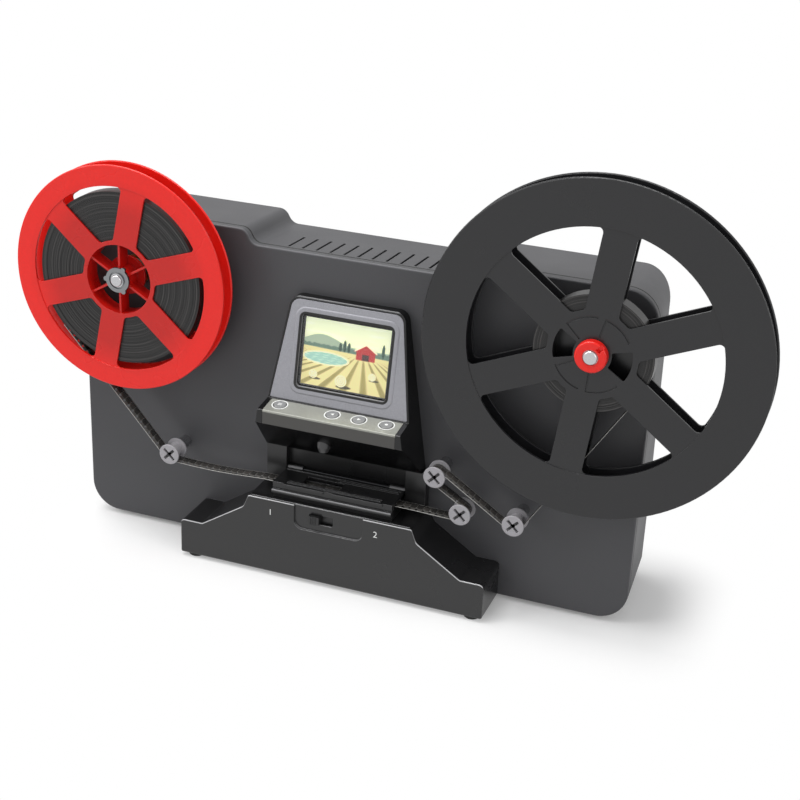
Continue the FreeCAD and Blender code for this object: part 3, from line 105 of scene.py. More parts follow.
def sweep_profile():
    """Floor line that turns up into a wall: level, a quarter circle, then upright."""
    radius = 0.8
    start = 1.6
    bend = np.radians(np.linspace(0, 90, 25))
    y = np.concatenate([[-4.0], start + radius * np.sin(bend), [start + radius]])
    z = np.concatenate([[0.0], radius * (1 - np.cos(bend)), [3.5]])
    return y, z


paper, tree = new_material("matt white background paper")
place = add(tree, "ShaderNodeTexCoord").outputs["Object"]
fibre = add(tree, "ShaderNodeTexNoise", {"Vector": place, "Scale": 1 / (3 * MM)})
lift = add(tree, "ShaderNodeBump", {"Height": fibre.outputs["Fac"], "Distance": 0.02 * MM})
footprint_middle = (0.0, 0.005, 0.0)
footprint_half = (0.155, 0.035, 0.0)
shadow_reach = 45 * MM
from_middle = add(tree, "ShaderNodeVectorMath", {0: place, 1: footprint_middle}, operation="SUBTRACT")
either_way = add(tree, "ShaderNodeVectorMath", {0: from_middle.outputs[0]}, operation="ABSOLUTE")
beyond = add(tree, "ShaderNodeVectorMath", {0: either_way.outputs[0], 1: footprint_half},
             operation="SUBTRACT")
outside = add(tree, "ShaderNodeVectorMath", {0: beyond.outputs[0]}, operation="MAXIMUM")
away = add(tree, "ShaderNodeVectorMath", {0: outside.outputs[0]}, operation="LENGTH")
faded = add(tree, "ShaderNodeMapRange", {0: away.outputs["Value"], 1: 0.0, 2: shadow_reach, 3: 0.15},
            interpolation_type="SMOOTHSTEP")
rays = add(tree, "ShaderNodeLightPath").outputs
mirrored = add(tree, "ShaderNodeMath", {0: rays["Is Glossy Ray"], 1: rays["Is Transmission Ray"]},
               operation="MAXIMUM")
shown = add(tree, "ShaderNodeMath", {0: rays["Is Camera Ray"], 1: mirrored.outputs[0]}, operation="MAXIMUM")
share = add(tree, "ShaderNodeMath", {0: shown.outputs[0], 1: faded.outputs[0]}, operation="MULTIPLY")
tint = add(tree, "ShaderNodeMix", {0: shown.outputs[0], 6: colour("#b8b8b8"), 7: colour("#f9f9f9")},
           data_type="RGBA")
sheet = add(tree, "ShaderNodeBsdfPrincipled", {
    "Base Color": tint.outputs[2], "Roughness": 0.9, "Normal": lift.outputs[0]})
white = add(tree, "ShaderNodeEmission", {"Color": colour("#ffffff"), "Strength": 1.0})
both = add(tree, "ShaderNodeMixShader", {0: share.outputs[0], 1: sheet.outputs[0], 2: white.outputs[0]})
add(tree, "ShaderNodeOutputMaterial", {"Surface": both.outputs[0]})

floor_y, floor_z = sweep_profile()
floor_x = np.array([-4.0, 4.0])
grid_x, grid_y = np.meshgrid(floor_x, floor_y)
grid_z = np.repeat(floor_z[:, None], 2, axis=1)
rows = len(floor_y) - 1
corner = 2 * np.arange(rows)
floor = mesh_object("studio_floor", np.stack([grid_x, grid_y, grid_z], -1).reshape(-1, 3),
                    np.stack([corner, corner + 1, corner + 3, corner + 2], 1), 40)
floor.data.materials.append(paper)

world = bpy.data.worlds.new("studio")
world.use_nodes = True
bpy.context.scene.world = world
tree = world.node_tree
tree.nodes.clear()
path = add(tree, "ShaderNodeLightPath").outputs
mirrored = add(tree, "ShaderNodeMath", {0: path["Is Glossy Ray"], 1: path["Is Transmission Ray"]},
               operation="MAXIMUM")
shown = add(tree, "ShaderNodeMath", {0: path["Is Camera Ray"], 1: mirrored.outputs[0]}, operation="MAXIMUM")
plain = add(tree, "ShaderNodeBackground", {"Color": colour("#ffffff"), "Strength": 0.55})
white = add(tree, "ShaderNodeBackground", {"Color": colour("#ffffff"), "Strength": 1.0})
both = add(tree, "ShaderNodeMixShader", {0: shown.outputs[0], 1: plain.outputs[0], 2: white.outputs[0]})
add(tree, "ShaderNodeOutputWorld", {"Surface": both.outputs[0]})


def softbox(name, place, aim, width, height, power):
    """A rectangular studio lamp at a place, turned to face a point."""
    lamp = bpy.data.lights.new(name, "AREA")
    lamp.shape = "RECTANGLE"
    lamp.size = width
    lamp.size_y = height
    lamp.energy = power
    holder = bpy.data.objects.new(name, lamp)
    facing = (Vector(aim) - Vector(place)).to_track_quat("-Z", "Y")
    holder.matrix_world = Matrix.Translation(place) @ facing.to_matrix().to_4x4()
    bpy.context.scene.collection.objects.link(holder)


# The lamp above lights the tops and the floor, the left one the fronts, the right one the ends.
softbox("softbox_top", (-0.4, -0.12, 1.45), (0.0, 0.0, 0.1), 1.1, 0.7, 15.5)
softbox("softbox_left", (-1.3, -1.0, 0.9), (0.0, 0.0, 0.12), 0.6, 1.2, 8.2)
softbox("softbox_right", (1.5, -0.8, 0.8), (0.1, 0.0, 0.12), 0.5, 1.0, 4.5)


# Front cover and rear cover. Two ABS shells from steel moulds with a fine spark-eroded grain;
# the rear one telescopes a little way behind the front one's rim and six screws join them.
def finish(node, material):
    """Gives a piece of the construction its finish."""
    slots = nodes[node].data.materials
    slots.clear()
    slots.append(material)


def moulded(name, shade, rough, grain, relief, cloud=0.06, sheen=0.5, edge=0.4 * MM, edge_highlight="#000000"):
    """Moulded plastic: an even colour with faint flow clouds, the mould's grain as relief,
    gloss that varies where hands and cloths have polished it, and edges with a small radius,
    where a second colour may be added on edges that face up as a painted highlight."""
    material, tree = new_material(name)
    place = add(tree, "ShaderNodeTexCoord").outputs["Object"]
    flow = add(tree, "ShaderNodeTexNoise", {"Vector": place, "Scale": 1 / (45 * MM), "Detail": 3.0})
    pits = add(tree, "ShaderNodeTexNoise", {"Vector": place, "Scale": 1 / grain, "Detail": 2.0})
    dark = [c * (1 - cloud) for c in colour(shade)[:3]] + [1.0]
    light = [c * (1 + cloud) for c in colour(shade)[:3]] + [1.0]
    tone = add(tree, "ShaderNodeMix", {0: flow.outputs["Fac"], 6: dark, 7: light}, data_type="RGBA")
    spots = add(tree, "ShaderNodeMix", {0: 0.12, 6: tone.outputs[2], 7: pits.outputs["Color"]},
                data_type="RGBA", blend_type="OVERLAY")
    gloss = add(tree, "ShaderNodeMapRange", {
        0: flow.outputs["Fac"], 1: 0.3, 2: 0.7, 3: rough - 0.04, 4: rough + 0.05})
    rounded = add(tree, "ShaderNodeBevel", {"Radius": edge}, samples=6)
    lift = add(tree, "ShaderNodeBump", {
        "Height": pits.outputs["Fac"], "Strength": 0.6, "Distance": relief, "Normal": rounded.outputs[0]})
    # Edges whose rounded normal turns up get the second colour added: a painted highlight.
    way = add(tree, "ShaderNodeSeparateXYZ", {0: rounded.outputs[0]}).outputs
    facing = add(tree, "ShaderNodeMapRange", {0: way["Z"], 1: 0.2, 2: 0.45})
    forward = add(tree, "ShaderNodeMath", {0: way["Y"], 1: way["Y"]}, operation="MULTIPLY")
    across = add(tree, "ShaderNodeMath", {0: 1.0, 1: forward.outputs[0]}, operation="SUBTRACT")
    slant = add(tree, "ShaderNodeMath", {0: forward.outputs[0], 1: across.outputs[0]}, operation="MULTIPLY")
    polished = add(tree, "ShaderNodeMapRange", {0: slant.outputs[0], 1: 0.08, 2: 0.2, 4: facing.outputs[0]})
    highlit_colour = add(tree, "ShaderNodeMix", {0: polished.outputs[0], 6: spots.outputs[2], 7: colour(edge_highlight)},
                 data_type="RGBA", blend_type="ADD")
    skin = add(tree, "ShaderNodeBsdfPrincipled", {
        "Base Color": highlit_colour.outputs[2], "Roughness": gloss.outputs[0], "IOR": 1.54,
        "Specular IOR Level": sheen, "Normal": lift.outputs[0]})
    add(tree, "ShaderNodeOutputMaterial", {"Surface": skin.outputs[0]})
    return material


def basis(tree):
    """The plastic's own shader and what now colours it, for a mark that is laid over that."""
    shader = [node for node in tree.nodes if node.type == "BSDF_PRINCIPLED"][0]
    return shader.inputs["Base Color"], shader.inputs["Base Color"].links[0].from_socket


# The covers' upward front edges get a painted highlight.
grained_abs = moulded("ABS moulded with spark-eroded grain, dark grey", "#414144",
                      0.52, 0.55 * MM, 0.05 * MM, edge_highlight="#363638")
tree = grained_abs.node_tree
# Along the joint with the rear cover the colour goes near black over a band wider than the real gap: painted
# shade in the joint, with its dust.
rim_deep = 4.2 * MM
joint_band_half = 0.75 * MM
joint_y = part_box("front_cover")[0].y + rim_deep
place = add(tree, "ShaderNodeTexCoord").outputs["Object"]
depth = add(tree, "ShaderNodeSeparateXYZ", {0: place}).outputs["Y"]
off = add(tree, "ShaderNodeMath", {0: depth, 1: joint_y, 2: joint_band_half}, operation="COMPARE")
socket, before = basis(tree)
joint_dust_and_shade = add(tree, "ShaderNodeMix", {0: off.outputs[0], 6: before, 7: colour("#0c0c0c")}, data_type="RGBA")
tree.links.new(joint_dust_and_shade.outputs[2], socket)
for node in ("front_cover", "rear_cover"):
    finish(node, grained_abs)


# Base block, its bottom plate and four feet. The block is ABS from a polished mould, so it
# mirrors the studio softly; the feet are turned rubber pads pressed into the bottom.
# The block's upward edges get a light painted highlight, the line along the deck's front edge.
polished_abs = moulded("ABS moulded with a satin-polished face, black", "#151516",
                       0.24, 0.9 * MM, 0.008 * MM, 0.06, 0.56, 0.5 * MM, "#bcbcbe")
finish("base_shell", polished_abs)
finish("base_plate", grained_abs)
soft_rubber = moulded("natural rubber, moulded, black", "#1b1b1a", 0.75, 0.35 * MM, 0.06 * MM)
finish("rubber_feet", soft_rubber)


# Slide switch. A ribbed acetal knob in a slot in the recess, with the switch body behind it.
acetal_black = moulded("acetal, moulded, black", "#151516", 0.36, 0.5 * MM, 0.015 * MM)
finish("switch_knob", acetal_black)
finish("switch_body", acetal_black)


# Screen housing. A glossy black ABS shell that leans back, on the front of the body.
# The housing's upward edges get a faint painted highlight.
glossy_abs = moulded("ABS moulded in a polished mould, glossy black", "#0e0e0f",
                     0.22, 1.2 * MM, 0.005 * MM, 0.06, 0.4, 0.4 * MM, "#3c3c3e")
finish("screen_housing", glossy_abs)


# Bezel and button shelf. Two ABS trim plates sprayed with satin silver lacquer: fine metal
# flakes in a clear binder, which gives a soft sheen with a slight sparkle.
def lacquered(name, shade, rough, metal):
    """Sprayed silver lacquer: flakes as small tilted cells, under the orange peel of the coat."""
    material, tree = new_material(name)
    place = add(tree, "ShaderNodeTexCoord").outputs["Object"]
    flakes = add(tree, "ShaderNodeTexVoronoi", {"Vector": place, "Scale": 1 / (0.35 * MM)})
    peel = add(tree, "ShaderNodeTexNoise", {"Vector": place, "Scale": 1 / (1.4 * MM), "Detail": 1.0})
    dark = [c * 0.86 for c in colour(shade)[:3]] + [1.0]
    light = [min(1.0, c * 1.12) for c in colour(shade)[:3]] + [1.0]
    tone = add(tree, "ShaderNodeMix", {0: flakes.outputs["Color"], 6: dark, 7: light}, data_type="RGBA")
    gloss = add(tree, "ShaderNodeMapRange", {0: peel.outputs["Fac"], 3: rough - 0.05, 4: rough + 0.05})
    rounded = add(tree, "ShaderNodeBevel", {"Radius": 0.4 * MM}, samples=6)
    lift = add(tree, "ShaderNodeBump", {
        "Height": peel.outputs["Fac"], "Strength": 0.4, "Distance": 0.01 * MM, "Normal": rounded.outputs[0]})
    skin = add(tree, "ShaderNodeBsdfPrincipled", {
        "Base Color": tone.outputs[2], "Roughness": gloss.outputs[0], "Metallic": metal,
        "Normal": lift.outputs[0]})
    add(tree, "ShaderNodeOutputMaterial", {"Surface": skin.outputs[0]})
    return material


silver_lacquer = lacquered("satin silver lacquer on ABS", "#98989e", 0.38, 0.35)
finish("screen_bezel", silver_lacquer)
shelf_lacquer = lacquered("satin silver lacquer on the shelf's top, bare grey ABS on its apron",
                          "#999a92", 0.4, 0.25)
tree = shelf_lacquer.node_tree
socket, before = basis(tree)
# Below the apron's top the colour is a darker grey: painted shade on the apron, which faces down.
place = add(tree, "ShaderNodeTexCoord").outputs["Object"]
height = add(tree, "ShaderNodeSeparateXYZ", {0: place}).outputs["Z"]
apron_top = 99.9 * MM
on_top = add(tree, "ShaderNodeMath", {0: height, 1: apron_top}, operation="GREATER_THAN")
tone = add(tree, "ShaderNodeMix", {0: on_top.outputs[0], 6: colour("#4a4947"), 7: before}, data_type="RGBA")
tree.links.new(tone.outputs[2], socket)
finish("button_plate", shelf_lacquer)


# Screen. A liquid crystal panel in a black frame lies behind a clear window. The picture on
# it is made-up farmland: pale sky, a hill, a wood, a pond, a red barn and bales on a mown field.
lean = math.radians(10.979)
screen_low, screen_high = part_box("screen_module")
picture_width = 48.8 * MM
picture_height = 36.6 * MM
picture_columns = 160
picture_rows = 120


def band(value, low, high, soft):
    """Rises from 0 to 1 at low and falls back to 0 at high, each over a soft width."""
    return np.clip((value - low) / soft + 0.5, 0, 1) * np.clip((high - value) / soft + 0.5, 0, 1)


def ripple(u, v, scale, seed):
    """Five sine waves of mixed headings, added: a smooth uneven field from -1 to 1."""
    total = 0.0
    for k in range(5):
        heading = seed + 2.4 * k
        along = u * math.cos(heading) + v * math.sin(heading)
        total = total + np.sin(scale * (1 + 0.37 * k) * along + seed * k)
    return total / 5


def field_picture(u, v):
    """Linear colours of farmland at u across and v up, both from 0 to 1: layers painted back to front."""
    def paint(under, shade, cover):
        return under + (np.array(colour(shade)[:3]) - under) * cover[..., None]

    def inside(x, y, half_width, half_height, soft):
        return np.clip((1 - np.hypot((u - x) / half_width, (v - y) / half_height)) / soft, 0, 1)
    flat = np.zeros(u.shape + (3,))
    view = paint(flat, "#e9ecc6", np.ones_like(u))
    view = paint(view, "#cfdcc0", np.clip((v - 0.78) / 0.4, 0, 1))
    view = paint(view, "#f6f5dc", np.clip(ripple(u, 3 * v, 9, 1.3) - 0.1, 0, 0.5))
    hill_top = 0.66 + 0.13 * np.exp(-((u - 0.22) / 0.2) ** 2) + 0.006 * np.sin(19 * u)
    view = paint(view, "#a3b19c", np.clip((hill_top - v) / 0.012, 0, 1))
    wood_top = 0.635 + 0.02 * ripple(9 * u, 0 * v, 8, 0.7)
    view = paint(view, "#6f8477", np.clip((wood_top - v) / 0.01, 0, 1))
    down = 0.585 - 0.03 * u - v
    view = paint(view, "#ddd29a", np.clip(down / 0.008, 0, 1))
    furrow = (2.6 * (u - 0.7) / (down + 0.07)) % 1
    view = paint(view, "#8f8355", band(furrow, 0.0, 0.36, 0.14) * np.clip((down - 0.04) / 0.08, 0, 1) * 0.8)
    view = paint(view, "#f1e9bd", inside(0.27, 0.43, 0.285, 0.105, 0.04))
    pond = inside(0.27, 0.43, 0.26, 0.085, 0.04)
    view = paint(view, "#9cc3b4", pond)
    view = paint(view, "#d2e6d2", pond * np.clip(ripple(2 * u, 14 * v, 14, 2.1), 0, 0.6))
    for x, tall in ((0.43, 0.07), (0.48, 0.095), (0.53, 0.08), (0.93, 0.11)):
        view = paint(view, "#4f6058", inside(x, 0.56 + tall, 0.02, tall, 0.15))
    view = paint(view, "#b3342f", band(u, 0.62, 0.84, 0.008) * band(v, 0.49, 0.62, 0.008))
    eaves = 0.73 - 0.85 * np.abs(u - 0.73)
    view = paint(view, "#b3342f", band(v, 0.61, eaves, 0.008))
    view = paint(view, "#efe3c6", band(v, eaves - 0.015, eaves + 0.012, 0.008) * band(u, 0.60, 0.86, 0.008))
    view = paint(view, "#5c3a30", band(u, 0.69, 0.77, 0.008) * band(v, 0.49, 0.58, 0.008))
    for x, y, size in ((0.14, 0.17, 0.05), (0.47, 0.13, 0.07), (0.83, 0.27, 0.045)):
        round_bale = inside(x, y, size, 1.3 * size, 0.08)
        view = paint(view, "#5c5a3f", inside(x + 0.5 * size, y - 1.2 * size, 1.4 * size, 0.4 * size, 0.2))
        view = paint(view, "#f3edc6", round_bale)
        far = np.hypot((u - x) / size, (v - y) / (1.3 * size))
        view = paint(view, "#93865a", band((3 * far) % 1, 0.0, 0.3, 0.1) * round_bale * 0.8)
    mottle = 0.92 + 0.12 * ripple(7 * u, 7 * v, 31, 0.9)
    return np.clip(view * 1.25 - 0.09, 0.01, 1) * mottle[..., None]


def screen_point(across, up, deep):
    """A point on the leaning screen: across, up along the screen and deep behind its face."""
    y = up * math.sin(lean) + deep * math.cos(lean)
    z = up * math.cos(lean) - deep * math.sin(lean)
    return np.stack([across, y, z], -1)


screen_middle = np.array([(screen_low.x + screen_high.x) / 2, (screen_low.y + screen_high.y) / 2,
                          (screen_low.z + screen_high.z) / 2])
u, v = np.meshgrid(np.linspace(0, 1, picture_columns + 1), np.linspace(0, 1, picture_rows + 1))
module_t = 2.6 * MM
view_deep = 0.3 * MM
picture = screen_point((u - 0.5) * picture_width, (v - 0.5) * picture_height,
                       view_deep - module_t / 2 - 0.05 * MM)
picture = (picture + screen_middle).reshape(-1, 3)
index = np.arange(picture_rows)[:, None] * (picture_columns + 1) + np.arange(picture_columns)
index = index.reshape(-1)
cells = np.stack([index, index + 1, index + picture_columns + 2, index + picture_columns + 1], 1)
screen_picture = mesh_object("screen_picture", picture, cells)
shades = np.concatenate([field_picture(u, v), np.ones(u.shape + (1,))], -1).reshape(-1, 4)
layer = screen_picture.data.color_attributes.new("picture", "FLOAT_COLOR", "POINT")
layer.data.foreach_set("color", shades.ravel())
sheet_wall = screen_picture.modifiers.new("thickness", "SOLIDIFY")
sheet_wall.thickness = 0.04 * MM
sheet_wall.offset = 0
lit_panel, tree = new_material("liquid crystal panel, lit")
stored = add(tree, "ShaderNodeAttribute", attribute_name="picture").outputs["Color"]
skin = add(tree, "ShaderNodeBsdfPrincipled", {
    "Base Color": stored, "Roughness": 0.35, "Emission Color": stored, "Emission Strength": 0.5})
add(tree, "ShaderNodeOutputMaterial", {"Surface": skin.outputs[0]})
screen_picture.data.materials.append(lit_panel)
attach(screen_picture, "machine")
finish("screen_module", acetal_black)

# The clear window shows the picture and mirrors the studio, sharper and softer by patches.
clear_acrylic, tree = new_material("cast acrylic, clear")
place = add(tree, "ShaderNodeTexCoord").outputs["Object"]
smear = add(tree, "ShaderNodeTexNoise", {"Vector": place, "Scale": 1 / (9 * MM)})
gloss = add(tree, "ShaderNodeMapRange", {0: smear.outputs["Fac"], 3: 0.0, 4: 0.06})
skin = add(tree, "ShaderNodeBsdfPrincipled", {
    "Base Color": colour("#fbfcfc"), "Roughness": gloss.outputs[0], "IOR": 1.49, "Transmission Weight": 1.0})
add(tree, "ShaderNodeOutputMaterial", {"Surface": skin.outputs[0]})
finish("screen_window", clear_acrylic)


# Buttons. Four moulded caps in the shelf, each with a light printed ring and a plain sign:
# bars, an arrow back, an arrow on and a dot. The print is a thin film of paint on the cap.
button_paint = lacquered("satin silver lacquer on an ABS cap", "#8f9090", 0.42, 0.25)
print_white, tree = new_material("pad-printed ink, light grey")
place = add(tree, "ShaderNodeTexCoord").outputs["Object"]
speck = add(tree, "ShaderNodeTexNoise", {"Vector": place, "Scale": 1 / (0.2 * MM)})
tone = add(tree, "ShaderNodeMix", {0: speck.outputs["Fac"], 6: colour("#e2e4e2"), 7: colour("#fbfcfa")},
           data_type="RGBA")
skin = add(tree, "ShaderNodeBsdfPrincipled", {"Base Color": tone.outputs[2], "Roughness": 0.5})
add(tree, "ShaderNodeOutputMaterial", {"Surface": skin.outputs[0]})
shelf_tilt = math.radians(8.191)
shelf_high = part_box("button_plate")[1]
button_along = 4.592 * MM
button_proud = 0.4 * MM
print_t = 0.03 * MM


def skinned(name, rings, closed=False, smooth_degrees=30):
    """A closed skin over a row of sections: rings is sections by points by xyz. Neighbouring
    sections are joined by quads, and the first and last are joined or capped. The faces are
    turned round where the volume, summed over the faces, comes out below zero."""
    count, size = rings.shape[:2]
    a = np.arange(count if closed else count - 1)[:, None]
    b = np.arange(size)[None, :]
    after, beside = (a + 1) % count, (b + 1) % size
    quads = np.stack([a * size + b, a * size + beside, after * size + beside, after * size + b], -1)
    quads = quads.reshape(-1, 4)
    flat = rings.reshape(-1, 3)
    middle = flat.mean(0)
    p, q, r, s = (flat[quads[:, k]] - middle for k in range(4))
    volume = (np.cross(p, q) * r).sum() + (np.cross(p, r) * s).sum()
    faces = quads.tolist()
    if not closed:
        faces += [list(range(size))[::-1], list(range((count - 1) * size, count * size))]
    if volume < 0:
        faces = [f[::-1] for f in faces]
    return mesh_object(name, flat, faces, smooth_degrees)


def joined(name, pieces):
    """One object out of several meshes."""
    points, faces = [], []
    for piece in pieces:
        start = len(points)
        points += [v.co[:] for v in piece.data.vertices]
        faces += [[start + i for i in f.vertices] for f in piece.data.polygons]
        bpy.data.objects.remove(piece)
    return mesh_object(name, points, faces)


def plate(corners, place):
    """A thin plate: its corners in the plane, and the same corners a print's thickness up."""
    flat = np.array(corners, float) * MM
    levels = [np.column_stack([flat, np.full(len(flat), t)]) for t in (0.0, print_t)]
    return skinned("plate", place(np.stack(levels)))


def printed_ring(radius, width, place):
    """A ring with a square section, carried round a circle."""
    angle = np.linspace(0, 2 * np.pi, 49)[:-1]
    section = [(radius - width / 2, 0.0), (radius + width / 2, 0.0), (radius + width / 2, print_t / MM),
               (radius - width / 2, print_t / MM)]
    rings = [np.stack([r * np.cos(angle), r * np.sin(angle), np.full(48, t)], -1) for r, t in section]
    return skinned("ring", place(np.stack(rings, 1) * MM), True)


def on_button(x, proud):
    """Carries cap coordinates (right, up the slope, out) to the button at x, so far proud of the shelf."""
    forward = np.array([0, -math.cos(shelf_tilt), -math.sin(shelf_tilt)])
    out = np.array([0, -math.sin(shelf_tilt), math.cos(shelf_tilt)])
    centre = np.array([x, shelf_high.y, shelf_high.z]) + forward * button_along + out * proud

    def place(p):
        return centre + p[..., 0:1] * np.array([1, 0, 0]) - p[..., 1:2] * forward + p[..., 2:3] * out
    return place


def bars():
    """Three level bars, one above the other."""
    return [[(-1.1, h - 0.17), (1.1, h - 0.17), (1.1, h + 0.17), (-1.1, h + 0.17)]
            for h in (-0.75, 0.0, 0.75)]


def arrow(way):
    """A triangle that points right (1) or left (-1)."""
    return [[(-0.8 * way, -1.0), (1.1 * way, 0.0), (-0.8 * way, 1.0)][::int(way)]]


def dot():
    """A small disc."""
    angle = np.linspace(0, 2 * np.pi, 17)[:-1]
    return [np.stack([np.cos(angle), np.sin(angle)], 1) * 0.9]


for key, sign in (("menu", bars()), ("back", arrow(-1)), ("play", arrow(1)), ("enter", dot())):
    node = "button_" + key
    finish(node, button_paint)
    low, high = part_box(node)
    place = on_button((low.x + high.x) / 2, button_proud)
    mark = joined("print_on_" + node, [plate(shape, place) for shape in sign])
    mark.data.materials.append(print_white)
    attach(mark, "key_" + key)
    ring = printed_ring(4.25, 0.6, on_button((low.x + high.x) / 2, 0.0))
    ring.name = "ring_round_" + node
    ring.data.materials.append(print_white)
    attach(ring, "machine")


# The bezel's dished field round the screen: it falls from a soft ridge towards the opening.
# On the real one it is moulded in one with the bezel and sprayed with the same lacquer.
bezel_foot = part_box("screen_bezel")[0]
opening_x, opening_z = -15.8, 131.1
opening_half, opening_rise, opening_corner = 25.8, 19.4, 2.0
ridge_profile = [(4.0, 0.0), (3.5, 0.3), (3.1, 0.33), (0.3, 0.03), (0.3, -0.3), (4.0, -0.3)]


def round_opening(grow, proud):
    """A rounded rectangle, grown from the opening's by a width and proud of the bezel's face."""
    angle = np.radians(np.concatenate([np.linspace(0, 90, 9) + 90 * k for k in range(4)]))
    quarter = np.repeat(np.arange(4), 9)
    side_x = np.array([1, -1, -1, 1])[quarter] * (opening_half - opening_corner)
    side_z = np.array([1, 1, -1, -1])[quarter] * (opening_rise - opening_corner)
    x = opening_x + side_x + (opening_corner + grow) * np.cos(angle)
    z = opening_z + side_z + (opening_corner + grow) * np.sin(angle)
    y = bezel_foot.y / MM + (z - bezel_foot.z / MM) * math.tan(lean)
    return np.stack([x, y - proud * math.cos(lean), z + proud * math.sin(lean)], -1) * MM


ridge = skinned("screen_ridge", np.stack([round_opening(*step) for step in ridge_profile], 1), True, 50)
ridge.data.materials.append(silver_lacquer)
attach(ridge, "machine")


# Gasket. A thin black rubber frame lies in the dished field and seals the window's edge.
gasket_profile = [(1.4, 0.28), (0.05, 0.28), (0.05, -0.3), (1.4, -0.3)]
gasket = skinned("screen_gasket", np.stack([round_opening(*step) for step in gasket_profile], 1), True, 50)
gasket.data.materials.append(soft_rubber)
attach(gasket, "machine")


# Plain numbers beside the slide switch, printed on the base block's front.
base_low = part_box("base_shell")[0]
number_height = 3.7 * MM
for digit, x in (("1", -49.5 * MM), ("2", 12.5 * MM)):
    text = bpy.data.curves.new("digit", "FONT")
    text.body = digit
    text.size = number_height * 1.4
    text.extrude = print_t / 2
    text.align_x = "CENTER"
    holder = bpy.data.objects.new("digit", text)
    bpy.context.scene.collection.objects.link(holder)
    bpy.context.view_layer.update()
    mesh = bpy.data.meshes.new_from_object(holder.evaluated_get(bpy.context.evaluated_depsgraph_get()))
    bpy.data.objects.remove(holder)
    upright = Matrix.Rotation(math.pi / 2, 4, "X")
    mesh.transform(Matrix.Translation((x, base_low.y - print_t / 2, 38.2 * MM)) @ upright)
    mesh.materials.clear()
    mesh.materials.append(print_white)
    mark = bpy.data.objects.new("switch_number_" + digit, mesh)
    bpy.context.scene.collection.objects.link(mark)
    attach(mark, "machine")


# Camera under the head: a moulded cone with a small coated lens that looks down at the film.
barrel_plastic = moulded("polycarbonate, moulded, grey", "#3a3a3b", 0.3, 0.5 * MM, 0.01 * MM)
finish("camera_barrel", barrel_plastic)
# The coating gives the lens a bluish glint.
coated_glass, tree = new_material("optical glass with a blue coating")
skin = add(tree, "ShaderNodeBsdfPrincipled", {
    "Base Color": colour("#cfe0ff"), "Roughness": 0.02, "IOR": 1.52, "Transmission Weight": 0.7,
    "Coat Weight": 0.6, "Coat Tint": colour("#8fa8ff")})
add(tree, "ShaderNodeOutputMaterial", {"Surface": skin.outputs[0]})
finish("camera_lens", coated_glass)


def board(name):
    """Glass-fibre board: green solder mask over a lattice of copper tracks, a little raised."""
    material, tree = new_material(name)
    place = add(tree, "ShaderNodeTexCoord").outputs["Object"]
    tracks = add(tree, "ShaderNodeTexBrick", {
        "Vector": place, "Scale": 1 / (3 * MM), "Mortar Size": 0.03, "Color1": colour("#0e4a25"),
        "Color2": colour("#11552b"), "Mortar": colour("#2c7d42")})
    lift = add(tree, "ShaderNodeBump", {
        "Height": tracks.outputs["Fac"], "Strength": 0.3, "Distance": 0.03 * MM})
    skin = add(tree, "ShaderNodeBsdfPrincipled", {
        "Base Color": tracks.outputs["Color"], "Roughness": 0.32, "Normal": lift.outputs[0]})
    add(tree, "ShaderNodeOutputMaterial", {"Surface": skin.outputs[0]})
    return material


solder_mask = board("glass-fibre circuit board, green solder mask")
for node in ("camera_module", "button_board", "light_board", "main_board"):
    finish(node, solder_mask)


# Film gate. Moulded cheeks and a bed carry the film past a milky window; the hinged door with
# its ribs holds it flat. Under it a claw on a steel rail pulls the film on, moved by a crank.
# Its upward edges, the tops of the bars and ribs, get a painted highlight.
gate_abs = moulded("ABS moulded with a satin face, black, gate", "#151516",
                   0.3, 0.8 * MM, 0.015 * MM, 0.06, 0.5, 0.35 * MM, "#6c6c6e")
for node in ("gate_frame", "film_bed", "gate_door"):
    finish(node, gate_abs)
# The window under the film is milky: light spreads a little way inside it.
opal, tree = new_material("opal acrylic, cast")
place = add(tree, "ShaderNodeTexCoord").outputs["Object"]
milk = add(tree, "ShaderNodeTexNoise", {"Vector": place, "Scale": 1 / (6 * MM)})
tone = add(tree, "ShaderNodeMix", {0: milk.outputs["Fac"], 6: colour("#e4e6e6"), 7: colour("#f6f7f5")},
           data_type="RGBA")
skin = add(tree, "ShaderNodeBsdfPrincipled", {
    "Base Color": tone.outputs[2], "Roughness": 0.3, "Subsurface Weight": 0.3, "Subsurface Scale": 1 * MM})
add(tree, "ShaderNodeOutputMaterial", {"Surface": skin.outputs[0]})
finish("light_diffuser", opal)
acetal_white = moulded("acetal, machined, natural white", "#c9c8c2", 0.4, 0.4 * MM, 0.01 * MM)
for node in ("film_claw", "feed_crank", "takeup_pulley"):
    finish(node, acetal_white)


def metal(name, shade, rough, grain, relief):
    """Bare or plated metal: fine cloudy scratches give a broken sheen over an even colour."""
    material, tree = new_material(name)
    place = add(tree, "ShaderNodeTexCoord").outputs["Object"]
    stretch = add(tree, "ShaderNodeMapping", {"Vector": place, "Scale": (1.0, 9.0, 1.0)})
    lines = add(tree, "ShaderNodeTexNoise", {
        "Vector": stretch.outputs[0], "Scale": 1 / grain, "Detail": 3.0})
    gloss = add(tree, "ShaderNodeMapRange", {0: lines.outputs["Fac"], 3: rough - 0.07, 4: rough + 0.07})
    dark = [c * 0.85 for c in colour(shade)[:3]] + [1.0]
    tone = add(tree, "ShaderNodeMix", {0: lines.outputs["Fac"], 6: dark, 7: colour(shade)},
               data_type="RGBA")
    lift = add(tree, "ShaderNodeBump", {
        "Height": lines.outputs["Fac"], "Strength": 0.4, "Distance": relief})
    skin = add(tree, "ShaderNodeBsdfPrincipled", {
        "Base Color": tone.outputs[2], "Metallic": 1.0, "Roughness": gloss.outputs[0],
        "Normal": lift.outputs[0]})
    add(tree, "ShaderNodeOutputMaterial", {"Surface": skin.outputs[0]})
    return material


